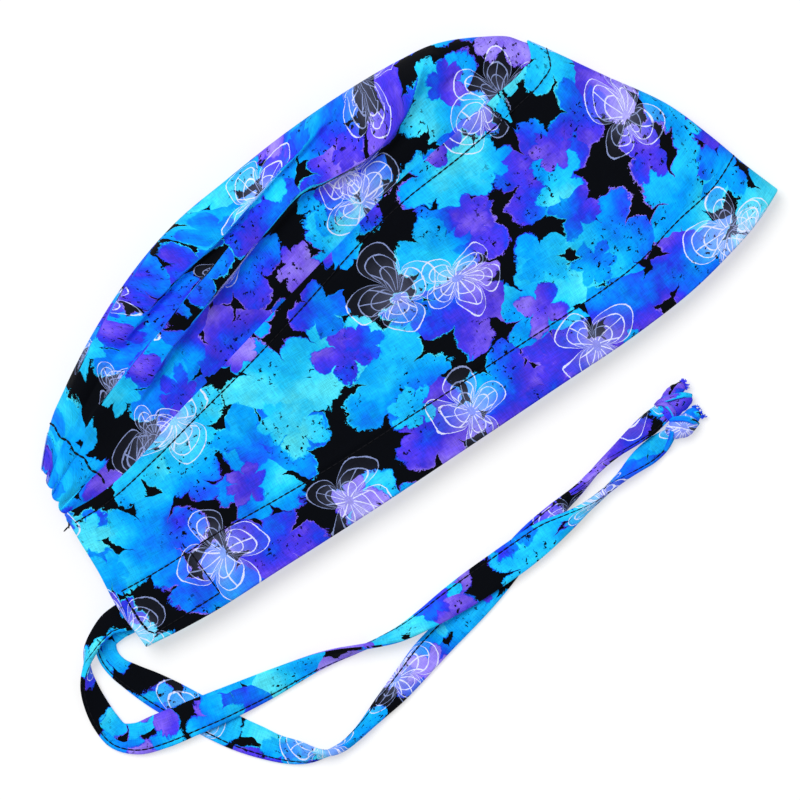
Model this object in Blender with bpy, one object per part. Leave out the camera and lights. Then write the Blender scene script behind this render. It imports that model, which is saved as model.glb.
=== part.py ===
"""Tie-back scrub cap of printed cotton, folded flat on its side.

Metres, +Z up. The brim runs along +X from the back to the front, the crown is towards +Y, and the
cap lies on z = 0. Shapes are worked out in a plan whose zero is the back corner of the brim, and
the finished pieces are moved so that the origin is the middle of the cap's footprint.
"""

import math

import bmesh
import bpy
import numpy as np

# Cap, seen from above
CAP_LENGTH = 0.3114
BRIM_BELLY = 0.0135
BACK_HEIGHT = 0.0619
BACK_SETBACK = 0.0052
FRONT_HEIGHT = 0.1074
FRONT_SETBACK = 0.0462
NAPE_HEIGHT = 0.0814
NAPE_SETBACK = 0.0075
NAPE_BULGE = 0.0030
CROWN_ARCH = 0.0364

# Loft of the folded cap, and how far a fold's rounding reaches in, as a share of its half loft
CAP_LOFT = 0.0230
FOLD_REACH = 1.4

# Cloth
CLOTH = 0.0012
PLY_GAP = 0.0005
SEAM_LAP = 0.0060
SEAM_STEP_OUT = 0.0140
HEM_DEPTH = 0.0230
HEM_EDGE_GAP = 0.0008
CASING_DEPTH = 0.0200
CASING_GAP = 0.0013

# Small dart beside the front tip
DART_PLACE = 0.894
DART_LENGTH = 0.0190
DART_HALF_WIDTH = 0.0055
DART_RISE = 0.0014
DART_OVERRUN = 0.5

# Folds of the crown, as shares of this height
FOLD_RISE = 0.0036
UNDER_FOLD_SHARE = 0.35

# Gathers of the elastic nape edge
GATHERS = 4
GATHER_RISE = 0.0010
GATHER_REACH = 0.0240
GATHER_START = 0.30

# Ties and knots
TIE_WIDTH = 0.0125
TIE_THICKNESS = 0.0016
TIE_STEP = 0.0062
KNOT_LENGTH = 0.0190
KNOT_WIDTH = 0.0105
KNOT_HEIGHT = 0.0080
KNOT_GAP = 0.0005
KNOT_SIDES = 12

# Cells of each piece: along the upper layer, round half a fold, along the under layer, across
SIDE_CELLS = (44, 5, 20)
SIDE_ROWS = 11
SIDE_FOLD_SHARE = 0.035
CROWN_COLUMNS = 40
CROWN_CELLS = (10, 6, 5)
CROWN_FOLD_SHARE = 0.36
CROWN_TIP_SHARE = 0.984
HEM_ROWS = 2
CASING_COLUMNS = 3
CASING_START = 0.0012
TIE_CELLS_ACROSS = 2
CURVE_SAMPLES = 161
FADE_SHARE = 0.25
LOFT_MIDDLE = 0.5
COTTON_ROUGHNESS = 0.85

# Brim: share of CAP_LENGTH, share of BRIM_BELLY below the chord
BRIM = np.array([
    (0.000, 0.000),
    (0.046, 0.185),
    (0.087, 0.311),
    (0.195, 0.467),
    (0.338, 0.660),
    (0.478, 0.790),
    (0.615, 0.900),
    (0.753, 1.000),
    (0.845, 0.900),
    (0.899, 0.700),
    (0.950, 0.440),
    (1.000, 0.000),
])

# Back edge of the band: share of BACK_HEIGHT, share of BACK_SETBACK
BACK = np.array([
    (0.00, 0.00),
    (0.36, 0.13),
    (0.56, 0.52),
    (0.81, 0.77),
    (1.00, 1.00),
])

# Front-centre fold: share of FRONT_HEIGHT, share of FRONT_SETBACK
FRONT = np.array([
    (0.000, 0.000),
    (0.147, 0.104),
    (0.317, 0.206),
    (0.496, 0.340),
    (0.729, 0.645),
    (0.922, 0.896),
    (1.000, 1.000),
])

# Seam of the band: share of the way from its back end to the front tip, share of the rise between them
SEAM = np.array([
    (0.000, 0.000),
    (0.062, -0.035),
    (0.172, 0.050),
    (0.217, 0.120),
    (0.320, 0.231),
    (0.447, 0.369),
    (0.592, 0.519),
    (0.717, 0.650),
    (0.825, 0.700),
    (0.914, 0.765),
    (0.968, 0.810),
    (0.990, 0.870),
    (1.000, 1.000),
])

# Silhouette of the crown: share of the way from nape to front tip, share of CROWN_ARCH above that line
CROWN = np.array([
    (0.000, 0.000),
    (0.022, 0.144),
    (0.057, 0.347),
    (0.100, 0.500),
    (0.169, 0.709),
    (0.244, 0.883),
    (0.326, 1.014),
    (0.388, 1.063),
    (0.495, 1.044),
    (0.608, 1.000),
    (0.730, 0.893),
    (0.823, 0.761),
    (0.875, 0.655),
    (0.943, 0.368),
    (0.981, 0.151),
    (1.000, 0.000),
])

# Loft: share of CAP_LENGTH, then shares of CAP_LOFT at the brim, half way up and at the crown
LOFT = np.array([
    (0.00, 0.50, 0.54, 0.62),
    (0.15, 0.50, 0.64, 0.85),
    (0.40, 0.50, 0.74, 1.00),
    (0.65, 0.50, 0.72, 0.92),
    (0.85, 0.46, 0.56, 0.58),
    (1.00, 0.44, 0.44, 0.44),
])

# Crown folds. Shares along the crown where each starts and ends, shares across it (0 stitch line,
# 1 silhouette) at those two places, share of FOLD_RISE (below 0 is a valley), half width as a share
FOLDS = np.array([
    (-0.30, 0.86, 0.40, 0.46, 1.00, 0.110),
    (-0.30, 0.62, 0.56, 0.86, -1.00, 0.090),
    (-0.30, 0.55, 0.72, 0.95, 0.55, 0.080),
    (-0.30, 0.40, 0.86, 1.00, -0.45, 0.070),
    (-0.30, 0.70, 0.24, 0.28, -0.80, 0.080),
    (0.52, 0.78, 0.98, 0.55, -0.45, 0.070),
])
FOLD_SHARE_AT_NAPE = 0.25
FOLD_GROWTH = 0.30

# Routes of the ties, from the sewn end to the knot, in the plan:
# x, y, height of the lowest edge, share of TIE_WIDTH, roll in degrees
TIE_UPPER_ROUTE = np.array([
    (0.0250, 0.0110, 0.0068, 1.00, 0),
    (0.0120, 0.0127, 0.0068, 1.00, 0),
    (0.0005, 0.0144, 0.0068, 1.00, 0),
    (-0.0064, 0.0153, 0.0058, 1.00, 5),
    (-0.0129, 0.0143, 0.0048, 0.92, 8),
    (-0.0191, 0.0118, 0.0032, 0.72, 38),
    (-0.0237, 0.0082, 0.0012, 0.58, 92),
    (-0.0279, 0.0009, 0.0004, 0.70, 148),
    (-0.0303, -0.0077, 0.0003, 0.85, 170),
    (-0.0311, -0.0150, 0.0003, 0.98, 179),
    (-0.0298, -0.0219, 0.0004, 1.00, 180),
    (-0.0245, -0.0271, 0.0011, 0.95, 180),
    (-0.0155, -0.0303, 0.0022, 1.00, 180),
    (-0.0027, -0.0331, 0.0026, 1.00, 180),
    (0.0080, -0.0354, 0.0027, 1.00, 180),
    (0.0182, -0.0383, 0.0016, 1.00, 180),
    (0.0304, -0.0412, 0.0003, 1.00, 180),
    (0.0422, -0.0433, 0.0003, 1.00, 180),
    (0.0508, -0.0451, 0.0003, 0.95, 192),
    (0.0595, -0.0474, 0.0003, 0.80, 225),
    (0.0676, -0.0506, 0.0003, 0.72, 270),
    (0.0760, -0.0530, 0.0005, 0.80, 315),
    (0.0850, -0.0547, 0.0014, 0.95, 345),
    (0.0950, -0.0557, 0.0026, 1.00, 357),
    (0.1085, -0.0567, 0.0028, 1.00, 360),
    (0.1199, -0.0580, 0.0028, 1.00, 360),
    (0.1318, -0.0587, 0.0028, 1.00, 360),
    (0.1436, -0.0594, 0.0028, 1.00, 360),
    (0.1555, -0.0600, 0.0028, 1.00, 360),
    (0.1678, -0.0601, 0.0026, 0.95, 360),
    (0.1794, -0.0591, 0.0022, 0.65, 352),
    (0.1872, -0.0578, 0.0014, 0.55, 345),
    (0.1953, -0.0566, 0.0004, 0.75, 355),
    (0.2045, -0.0563, 0.0003, 0.95, 360),
    (0.2125, -0.0560, 0.0003, 0.90, 360),
    (0.2185, -0.0555, 0.0014, 0.60, 360),
])

TIE_LOWER_ROUTE = np.array([
    (0.0250, 0.0100, 0.0036, 1.00, 0),
    (0.0120, 0.0118, 0.0036, 1.00, 0),
    (0.0005, 0.0134, 0.0034, 1.00, 0),
    (-0.0060, 0.0131, 0.0018, 1.00, 0),
    (-0.0119, 0.0105, 0.0006, 0.95, 0),
    (-0.0150, 0.0057, 0.0003, 0.90, 0),
    (-0.0149, -0.0001, 0.0003, 0.85, 0),
    (-0.0125, -0.0057, 0.0003, 0.85, 0),
    (-0.0096, -0.0133, 0.0003, 0.95, 0),
    (-0.0068, -0.0203, 0.0003, 1.00, 0),
    (-0.0024, -0.0293, 0.0003, 1.00, 0),
    (0.0024, -0.0397, 0.0003, 1.00, 0),
    (0.0077, -0.0495, 0.0003, 1.00, 0),
    (0.0133, -0.0575, 0.0003, 1.00, 0),
    (0.0176, -0.0631, 0.0003, 1.00, 0),
    (0.0235, -0.0693, 0.0003, 1.00, 12),
    (0.0289, -0.0742, 0.0003, 0.80, 50),
    (0.0340, -0.0768, 0.0003, 0.70, 90),
    (0.0398, -0.0778, 0.0003, 0.80, 130),
    (0.0469, -0.0775, 0.0003, 0.95, 168),
    (0.0543, -0.0762, 0.0003, 1.00, 180),
    (0.0610, -0.0747, 0.0003, 1.00, 180),
    (0.0699, -0.0727, 0.0003, 1.00, 180),
    (0.0789, -0.0704, 0.0003, 1.00, 180),
    (0.0880, -0.0682, 0.0003, 1.00, 180),
    (0.0964, -0.0667, 0.0003, 1.00, 180),
    (0.1057, -0.0655, 0.0003, 1.00, 180),
    (0.1180, -0.0636, 0.0003, 1.00, 180),
    (0.1355, -0.0602, 0.0003, 1.00, 180),
    (0.1506, -0.0565, 0.0003, 1.00, 180),
    (0.1653, -0.0530, 0.0003, 0.85, 180),
    (0.1769, -0.0507, 0.0003, 0.60, 180),
    (0.1893, -0.0477, 0.0015, 0.65, 180),
    (0.1972, -0.0463, 0.0024, 0.80, 180),
    (0.2062, -0.0455, 0.0026, 0.95, 180),
    (0.2150, -0.0448, 0.0026, 0.90, 180),
    (0.2210, -0.0441, 0.0026, 0.60, 180),
])

# Knots: share of KNOT_LENGTH, shares of KNOT_WIDTH and of KNOT_HEIGHT, share of KNOT_HEIGHT up
KNOT = np.array([
    (0.00, 0.62, 0.34, 0.48),
    (0.08, 0.86, 0.66, 0.46),
    (0.22, 1.00, 0.94, 0.50),
    (0.40, 0.98, 0.92, 0.50),
    (0.54, 0.70, 0.60, 0.42),
    (0.64, 0.56, 0.34, 0.34),
    (0.82, 0.80, 0.24, 0.26),
    (1.00, 0.92, 0.18, 0.20),
])


def reading(table, column, at):
    """Smooth value of one column of a table at the places given in its first column."""
    xs = table[:, 0]
    ys = table[:, column]
    slopes = np.gradient(ys, xs)
    at = np.clip(np.asarray(at, float), xs[0], xs[-1])
    i = np.clip(np.searchsorted(xs, at, side="right") - 1, 0, len(xs) - 2)
    step = xs[i + 1] - xs[i]
    s = (at - xs[i]) / step
    start = (1 + 2 * s) * (1 - s) ** 2 * ys[i] + s * (1 - s) ** 2 * step * slopes[i]
    end = s * s * (3 - 2 * s) * ys[i + 1] + s * s * (s - 1) * step * slopes[i + 1]
    return start + end


def eased(value):
    value = np.clip(value, 0, 1)
    return value * value * (3 - 2 * value)


def brim_line(u):
    return np.stack([u * CAP_LENGTH, -BRIM_BELLY * reading(BRIM, 1, u)], -1)


def back_line(t):
    return np.stack([BACK_SETBACK * reading(BACK, 1, t), t * BACK_HEIGHT], -1)


def front_line(t):
    return np.stack([CAP_LENGTH - FRONT_SETBACK * reading(FRONT, 1, t), t * FRONT_HEIGHT], -1)


def seam_line(u):
    start = np.array([BACK_SETBACK, BACK_HEIGHT])
    end = np.array([CAP_LENGTH - FRONT_SETBACK, FRONT_HEIGHT])
    share = np.stack([u, reading(SEAM, 1, u)], -1)
    return start + share * (end - start)


def crown_line(u):
    start = np.array([NAPE_SETBACK, NAPE_HEIGHT])
    end = np.array([CAP_LENGTH - FRONT_SETBACK, FRONT_HEIGHT])
    line = start + np.stack([u, u], -1) * (end - start)
    line[..., 1] += CROWN_ARCH * reading(CROWN, 1, u)
    return line


def band_plan(u, t):
    """Plan of the band: u from the back to the front fold, t from the brim to the seam."""
    u, t = np.broadcast_arrays(np.asarray(u, float), np.asarray(t, float))
    a = u[..., None]
    b = t[..., None]
    across = (1 - b) * brim_line(u) + b * seam_line(u)
    along = (1 - a) * back_line(t) + a * front_line(t)
    back_low, front_low = brim_line(np.array([0.0, 1.0]))
    back_high, front_high = seam_line(np.array([0.0, 1.0]))
    low = (1 - a) * back_low + a * front_low
    high = (1 - a) * back_high + a * front_high
    return across + along - (1 - b) * low - b * high


def evenly(line, shares):
    """Points at equal shares of the length of a line of points."""
    gone = np.concatenate([[0], np.cumsum(np.linalg.norm(np.diff(line, axis=0), axis=1))])
    places = np.asarray(shares) * gone[-1]
    return np.stack([np.interp(places, gone, line[:, i]) for i in range(line.shape[1])], -1)


SHARES = np.linspace(0, 1, CURVE_SAMPLES)
BAND_WIDTH = np.linalg.norm(seam_line(SHARES) - brim_line(SHARES), axis=1)
FRONT_LINE = front_line(SHARES)
CROWN_LINE = crown_line(SHARES)
SILHOUETTE = np.concatenate([FRONT_LINE, CROWN_LINE[::-1][1:]])
STITCH_LINE = band_plan(SHARES, 1 - SEAM_LAP / BAND_WIDTH)
TUCK = FRONT_LINE[FRONT_LINE[:, 1] > STITCH_LINE[-1, 1]][::-1]
CROWN_EDGE = np.concatenate([CROWN_LINE, TUCK[1:], STITCH_LINE[-1:]])
CAP_TOP = CROWN_LINE[:, 1].max()
CENTRE = np.array([CAP_LENGTH / 2, (CAP_TOP - BRIM_BELLY) / 2, 0])


def distance_to(line, points):
    """Distance in plan from each point to a line of points."""
    starts = line[:-1]
    runs = np.diff(line, axis=0)
    gaps = points[..., None, :] - starts
    share = np.clip((gaps * runs).sum(-1) / (runs * runs).sum(-1), 0, 1)
    return np.linalg.norm(gaps - share[..., None] * runs, axis=-1).min(-1)


def loft_at(points):
    """Full height of the folded cap over each point of the plan, away from its folded edge."""
    along = np.clip(points[..., 0] / CAP_LENGTH, 0, 1)
    low = -BRIM_BELLY * reading(BRIM, 1, along)
    order = np.argsort(SILHOUETTE[:, 0])
    high = np.interp(points[..., 0], SILHOUETTE[order, 0], SILHOUETTE[order, 1])
    up = np.clip((points[..., 1] - low) / np.maximum(high - low, CAP_LOFT), 0, 1)
    brim, middle, crown = (reading(LOFT, column, along) for column in (1, 2, 3))
    first = brim + (middle - brim) * up / LOFT_MIDDLE
    second = middle + (crown - middle) * (up - LOFT_MIDDLE) / (1 - LOFT_MIDDLE)
    return CAP_LOFT * np.where(up < LOFT_MIDDLE, first, second)


def lifted(points, side, relief=0.0):
    """Points of the plan on the upper layer (side 1) or the under layer (side -1)."""
    half = loft_at(points) / 2
    inward = np.clip(distance_to(SILHOUETTE, points) / (FOLD_REACH * half), 0, 1)
    swell = np.sqrt(1 - (1 - inward) ** 2)
    share = np.where(side > 0, 1.0, UNDER_FOLD_SHARE)
    raised = np.where(side > 0, relief, np.abs(relief)) * share * swell
    return np.concatenate([points, (half * (1 + side * swell) + raised)[..., None]], -1)


def dart_relief(points):
    """A low pinched ridge that runs down from the seam and tapers to a point."""
    top = seam_line(np.array(DART_PLACE))
    down = (top[1] - points[..., 1]) / DART_LENGTH
    taper = np.clip(1 - down, 0, 1) * (down > -DART_OVERRUN)
    across = (points[..., 0] - top[0]) / DART_HALF_WIDTH
    return DART_RISE * taper * np.exp(-across ** 2)


def fold_relief(q, w):
    """Height of the crown's lengthwise folds, which fan out from the gathered nape."""
    height = np.zeros(np.broadcast(q, w).shape)
    growth = FOLD_SHARE_AT_NAPE + (1 - FOLD_SHARE_AT_NAPE) * eased(q / FOLD_GROWTH)
    for start, end, near, far, rise, half_width in FOLDS:
        run = (q - start) / (end - start)
        place = near + (far - near) * np.clip(run, 0, 1)
        fade = eased(run / FADE_SHARE) * eased((1 - run) / FADE_SHARE)
        height += growth * FOLD_RISE * rise * fade * np.exp(-(((w - place) / half_width) ** 2))
    return height


def gather_relief(q, w):
    """Small pleats that the elastic draws in across the nape edge."""
    near = (1 - eased(q * CAP_LENGTH / GATHER_REACH)) * eased(w / GATHER_START - 1)
    return GATHER_RISE * near * np.cos(2 * math.pi * GATHERS * w)


def round_fold(cells, share):
    """Shares along one layer that close up towards the fold at 1."""
    angles = np.linspace(math.pi / 2, 0, cells + 1)
    return 1 - share * (1 - np.cos(angles))


def both_layers(cells, fold_share):
    """(share, side) of each line of points: along the upper layer, round the fold, back underneath."""
    upper_cells, fold_cells, under_cells = cells
    fold = round_fold(fold_cells, fold_share)
    upper = np.concatenate([np.linspace(0, fold[0], upper_cells + 1), fold[1:]])
    under = np.concatenate([fold[:-1][::-1], np.linspace(fold[0], 0, under_cells + 1)[1:]])
    return np.concatenate([upper, under]), np.concatenate([np.ones(len(upper)), -np.ones(len(under))])


def side_points(t):
    """The band's points for each share t of its width, as rows of a grid."""
    u, side = both_layers(SIDE_CELLS, SIDE_FOLD_SHARE)
    plan = band_plan(u[None, :], t)
    return lifted(plan, np.broadcast_to(side, plan.shape[:-1]), dart_relief(plan))


def crown_points(q):
    """The crown's points at the shares q along it, from its stitch line round to the other one."""
    w, side = both_layers(CROWN_CELLS, CROWN_FOLD_SHARE)
    low = evenly(STITCH_LINE, q)[:, None, :]
    high = evenly(CROWN_EDGE, q)[:, None, :]
    plan = low + w[None, :, None] * (high - low)
    bulge = NAPE_BULGE * (1 - eased(q / (CASING_DEPTH / CAP_LENGTH)))
    plan[..., 0] -= bulge[:, None] * np.sin(math.pi * w)[None, :]
    relief = fold_relief(q[:, None], w[None, :]) + gather_relief(q[:, None], w[None, :])
    return lifted(plan, np.broadcast_to(side, plan.shape[:-1]), relief)


def crown_inset(points):
    """How far the crown lies inside the band: a cloth and a gap at the seam, nothing further up."""
    beyond = distance_to(STITCH_LINE, points[..., :2]) - SEAM_LAP
    return (CLOTH + PLY_GAP) * (1 - eased(beyond / SEAM_STEP_OUT))


def new_object(name, mesh, material):
    mesh.materials.append(material)
    obj = bpy.data.objects.new(name, mesh)
    bpy.context.scene.collection.objects.link(obj)
    return obj


def cloth(name, points, inset, material, thickness=CLOTH, offset=-1.0):
    """A wall of cloth on a grid of points, set in along its normals."""
    rows, columns = points.shape[:2]
    bm = bmesh.new()
    bmesh.ops.create_grid(bm, x_segments=columns - 1, y_segments=rows - 1, size=0.5)
    grid = sorted(bm.verts, key=lambda v: (round(v.co.y, 6), round(v.co.x, 6)))
    for vert, place in zip(grid, points.reshape(-1, 3)):
        vert.co = place - CENTRE
    bm.normal_update()
    # The first point lies on the upper layer, where outwards is up
    if grid[0].normal.z < 0:
        bmesh.ops.reverse_faces(bm, faces=bm.faces)
        bm.normal_update()
    insets = np.broadcast_to(inset, points.shape[:2]).reshape(-1)
    moves = [vert.normal * float(-amount) for vert, amount in zip(grid, insets)]
    for vert, move in zip(grid, moves):
        vert.co += move
    mesh = bpy.data.meshes.new(name)
    bm.to_mesh(mesh)
    bm.free()
    mesh.shade_smooth()
    obj = new_object(name, mesh, material)
    wall = obj.modifiers.new("Wall", "SOLIDIFY")
    wall.thickness = thickness
    wall.offset = offset
    wall.use_even_offset = True
    return obj


def smooth_route(route, step):
    """A smooth line through the route's rows, with a row every step of its length."""
    gone = np.concatenate([[0], np.cumsum(np.linalg.norm(np.diff(route[:, :3], axis=0), axis=1))])
    table = np.column_stack([gone, route])
    places = np.linspace(0, gone[-1], max(2, round(gone[-1] / step)) + 1)
    return np.column_stack([reading(table, i + 1, places) for i in range(route.shape[1])])


def strap_points(route):
    """Lines of points across a flat tie that rolls about its route."""
    rows = smooth_route(route, TIE_STEP)
    ahead = np.gradient(rows[:, :3], axis=0)
    ahead[:, 2] = 0
    ahead /= np.linalg.norm(ahead, axis=1)[:, None]
    left = np.stack([-ahead[:, 1], ahead[:, 0], np.zeros(len(rows))], -1)
    roll = np.radians(rows[:, 4])[:, None]
    across = np.cos(roll) * left + np.sin(roll) * np.array([0.0, 0.0, 1.0])
    shares = np.linspace(-0.5, 0.5, TIE_CELLS_ACROSS + 1)
    widths = TIE_WIDTH * rows[:, 3]
    on_edge = np.abs(np.sin(roll[:, 0]))
    laid_flat = np.abs(np.cos(roll[:, 0]))
    rows[:, 2] += (widths * on_edge + TIE_THICKNESS * laid_flat) / 2
    return rows[None, :, :3] + shares[:, None, None] * (across * widths[:, None])[None]


def knot(name, route, material):
    """A tight knot and its flattened tip, lofted through oval sections."""
    start = route[-1, :2] - CENTRE[:2]
    run = route[-1, :2] - route[-2, :2]
    ahead = run / np.linalg.norm(run)
    left = np.array([-ahead[1], ahead[0]])
    bm = bmesh.new()
    rings = []
    for along, width, height, up in KNOT:
        made = bmesh.ops.create_circle(bm, segments=KNOT_SIDES, radius=0.5)
        middle = start + (KNOT_GAP + along * KNOT_LENGTH) * ahead
        for vert in made["verts"]:
            place = middle + vert.co.x * width * KNOT_WIDTH * left
            vert.co = (*place, (vert.co.y * height + up) * KNOT_HEIGHT)
        rings.append([e for e in bm.edges if all(v in made["verts"] for v in e.verts)])
    for first, second in zip(rings, rings[1:]):
        bmesh.ops.bridge_loops(bm, edges=first + second)
    bmesh.ops.edgeloop_fill(bm, edges=rings[0])
    bmesh.ops.edgeloop_fill(bm, edges=rings[-1])
    bmesh.ops.recalc_face_normals(bm, faces=bm.faces)
    mesh = bpy.data.meshes.new(name)
    bm.to_mesh(mesh)
    bm.free()
    mesh.shade_smooth()
    return new_object(name, mesh, material)


def cotton(name, colour):
    """Soft woven cotton of one colour."""
    material = bpy.data.materials.new(name)
    material.use_nodes = True
    shader = material.node_tree.nodes["Principled BSDF"]
    shader.inputs["Base Color"].default_value = (*colour, 1)
    shader.inputs["Roughness"].default_value = COTTON_ROUGHNESS
    shader.inputs["Metallic"].default_value = 0.0
    return material


def build_side_panel(material):
    t = np.linspace(0, 1, SIDE_ROWS + 1)[:, None]
    return cloth("side_panel", side_points(t), 0.0, material)


def build_brim_hem(material):
    u, _ = both_layers(SIDE_CELLS, SIDE_FOLD_SHARE)
    width = np.interp(u, SHARES, BAND_WIDTH)[None, :]
    rise = np.linspace(HEM_EDGE_GAP, HEM_DEPTH, HEM_ROWS + 1)[:, None]
    return cloth("brim_hem", side_points(rise / width), CLOTH + PLY_GAP, material)


def build_crown_panel(material):
    q = np.linspace(0, CROWN_TIP_SHARE, CROWN_COLUMNS + 1)
    points = crown_points(q)
    return cloth("crown_panel", points, crown_inset(points), material)


def build_nape_casing(material):
    length = np.linalg.norm(np.diff(CROWN_EDGE, axis=0), axis=1).sum()
    q = np.linspace(CASING_START, CASING_DEPTH, CASING_COLUMNS + 1) / length
    points = crown_points(q)
    return cloth("nape_casing", points, crown_inset(points) + CLOTH + CASING_GAP, material)


def build_tie(name, route, material):
    return cloth(name, strap_points(route), 0.0, material, TIE_THICKNESS, 0.0)


def main():
    for obj in list(bpy.data.objects):
        bpy.data.objects.remove(obj)
    band = cotton("band cotton", (0.02, 0.22, 0.80))
    crown = cotton("crown cotton", (0.05, 0.12, 0.70))
    lining = cotton("wrong side cotton", (0.20, 0.38, 0.80))
    tie = cotton("tie cotton", (0.02, 0.30, 0.85))
    build_side_panel(band)
    build_brim_hem(lining)
    build_crown_panel(crown)
    build_nape_casing(lining)
    build_tie("tie_upper", TIE_UPPER_ROUTE, tie)
    build_tie("tie_lower", TIE_LOWER_ROUTE, tie)
    knot("knot_upper", TIE_UPPER_ROUTE, tie)
    knot("knot_lower", TIE_LOWER_ROUTE, tie)


main()
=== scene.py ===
# %% [markdown]
# # A tie-back scrub cap, folded flat on its side
#
# The cap is sewn from printed cotton: a band that wraps the head, a crown gathered at the nape, and two
# ties that leave the band's back end and finish in knots. The solid model is loaded first and stays as it
# is. Each solid is then replaced by cloth that follows the same shape, with the seams, folds and stitches
# that a solid can't show.

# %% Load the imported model
import math

import bmesh
import bpy
import numpy as np
from mathutils import Matrix, Vector


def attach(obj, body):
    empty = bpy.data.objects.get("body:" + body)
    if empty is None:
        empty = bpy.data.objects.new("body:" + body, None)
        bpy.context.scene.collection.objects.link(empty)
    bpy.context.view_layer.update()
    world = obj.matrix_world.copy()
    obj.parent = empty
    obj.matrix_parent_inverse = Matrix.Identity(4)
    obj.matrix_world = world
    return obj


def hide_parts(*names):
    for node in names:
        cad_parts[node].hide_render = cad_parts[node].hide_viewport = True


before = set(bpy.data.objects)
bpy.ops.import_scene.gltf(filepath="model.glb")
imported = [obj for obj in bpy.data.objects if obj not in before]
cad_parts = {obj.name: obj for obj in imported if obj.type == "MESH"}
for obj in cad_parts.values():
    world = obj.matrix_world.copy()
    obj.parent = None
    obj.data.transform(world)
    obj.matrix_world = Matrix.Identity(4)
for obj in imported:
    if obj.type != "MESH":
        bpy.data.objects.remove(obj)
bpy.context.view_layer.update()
print("nodes:", ", ".join(sorted(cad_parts)))

# %% [markdown]
# ## Camera
#
# The cap is seen from straight above, so the camera looks down the Z axis. A long lens keeps the view
# nearly free of perspective, as a picture of a flat garment is. The camera is turned about Z, because the
# cap lies slantwise in the picture while its brim runs along X here.

# %% The overhead camera
VIEW_WIDTH = 0.320
VIEW_CENTRE = (-0.0160, -0.03955)
VIEW_TURN = math.radians(-35.85)
CAMERA_HEIGHT = 3.6
SENSOR_WIDTH = 36.0

camera = bpy.data.objects.new("overhead_camera", bpy.data.cameras.new("overhead_camera"))
camera.data.sensor_width = SENSOR_WIDTH
camera.data.lens = SENSOR_WIDTH * CAMERA_HEIGHT / VIEW_WIDTH
camera.location = (*VIEW_CENTRE, CAMERA_HEIGHT)
camera.rotation_euler = (0, 0, VIEW_TURN)
bpy.context.scene.collection.objects.link(camera)
bpy.context.scene.camera = camera
print("lens:", round(camera.data.lens, 1), "mm")

# %% [markdown]
# ## Sizes
#
# These are the sizes of the solid model, repeated so that the cloth lies where the solids lie. Only the hem
# is cut 3.5 mm deeper here, so that its inner ply reaches past its stitch line. The plan is measured from
# the back corner of the brim, with the brim along +X and the crown towards +Y. Each outline is a short
# table of shares, read as a smooth curve.

# %% Sizes of the cap
CAP_LENGTH = 0.3114
BRIM_BELLY = 0.0135
BACK_HEIGHT = 0.0619
BACK_SETBACK = 0.0052
FRONT_HEIGHT = 0.1074
FRONT_SETBACK = 0.0462
NAPE_HEIGHT = 0.0814
NAPE_SETBACK = 0.0075
NAPE_BULGE = 0.0030
CROWN_ARCH = 0.0364
CAP_LOFT = 0.0230
FOLD_REACH = 1.4
LOFT_MIDDLE = 0.5
SEAM_LAP = 0.0060
HEM_DEPTH = 0.0265
CASING_DEPTH = 0.0200
TIE_WIDTH = 0.0125
TIE_THICKNESS = 0.0016
CURVE_SAMPLES = 161

# %% Outlines of the cap
# Brim: share of CAP_LENGTH, share of BRIM_BELLY below the chord
BRIM = np.array([
    (0.000, 0.000),
    (0.046, 0.185),
    (0.087, 0.311),
    (0.195, 0.467),
    (0.338, 0.660),
    (0.478, 0.790),
    (0.615, 0.900),
    (0.753, 1.000),
    (0.845, 0.900),
    (0.899, 0.700),
    (0.950, 0.440),
    (1.000, 0.000),
])

# Back edge of the band: share of BACK_HEIGHT, share of BACK_SETBACK
BACK = np.array([
    (0.00, 0.00),
    (0.36, 0.03),
    (0.56, 0.38),
    (0.81, 0.63),
    (1.00, 0.87),
])

# Front-centre fold: share of FRONT_HEIGHT, share of FRONT_SETBACK
FRONT = np.array([
    (0.000, 0.000),
    (0.147, 0.104),
    (0.317, 0.206),
    (0.496, 0.340),
    (0.729, 0.645),
    (0.922, 0.896),
    (1.000, 1.000),
])

# Seam of the band: share of the way from its back end to the front tip, share of the rise between them
SEAM = np.array([
    (0.000, 0.000),
    (0.062, -0.035),
    (0.172, 0.050),
    (0.217, 0.120),
    (0.320, 0.231),
    (0.447, 0.369),
    (0.592, 0.519),
    (0.717, 0.650),
    (0.825, 0.700),
    (0.914, 0.765),
    (0.968, 0.810),
    (0.990, 0.870),
    (1.000, 1.000),
])

# Silhouette of the crown: share of the way from nape to front tip, share of CROWN_ARCH above that line
CROWN = np.array([
    (0.000, 0.000),
    (0.022, 0.144),
    (0.057, 0.347),
    (0.100, 0.500),
    (0.169, 0.709),
    (0.244, 0.883),
    (0.326, 1.014),
    (0.388, 1.063),
    (0.495, 1.044),
    (0.608, 1.000),
    (0.730, 0.893),
    (0.823, 0.761),
    (0.875, 0.655),
    (0.943, 0.368),
    (0.981, 0.151),
    (1.000, 0.000),
])

# Loft: share of CAP_LENGTH, then shares of CAP_LOFT at the brim, half way up and at the crown
LOFT = np.array([
    (0.00, 0.50, 0.54, 0.62),
    (0.15, 0.50, 0.64, 0.85),
    (0.40, 0.50, 0.74, 1.00),
    (0.65, 0.50, 0.72, 0.92),
    (0.85, 0.46, 0.56, 0.58),
    (1.00, 0.44, 0.44, 0.44),
])

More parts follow.
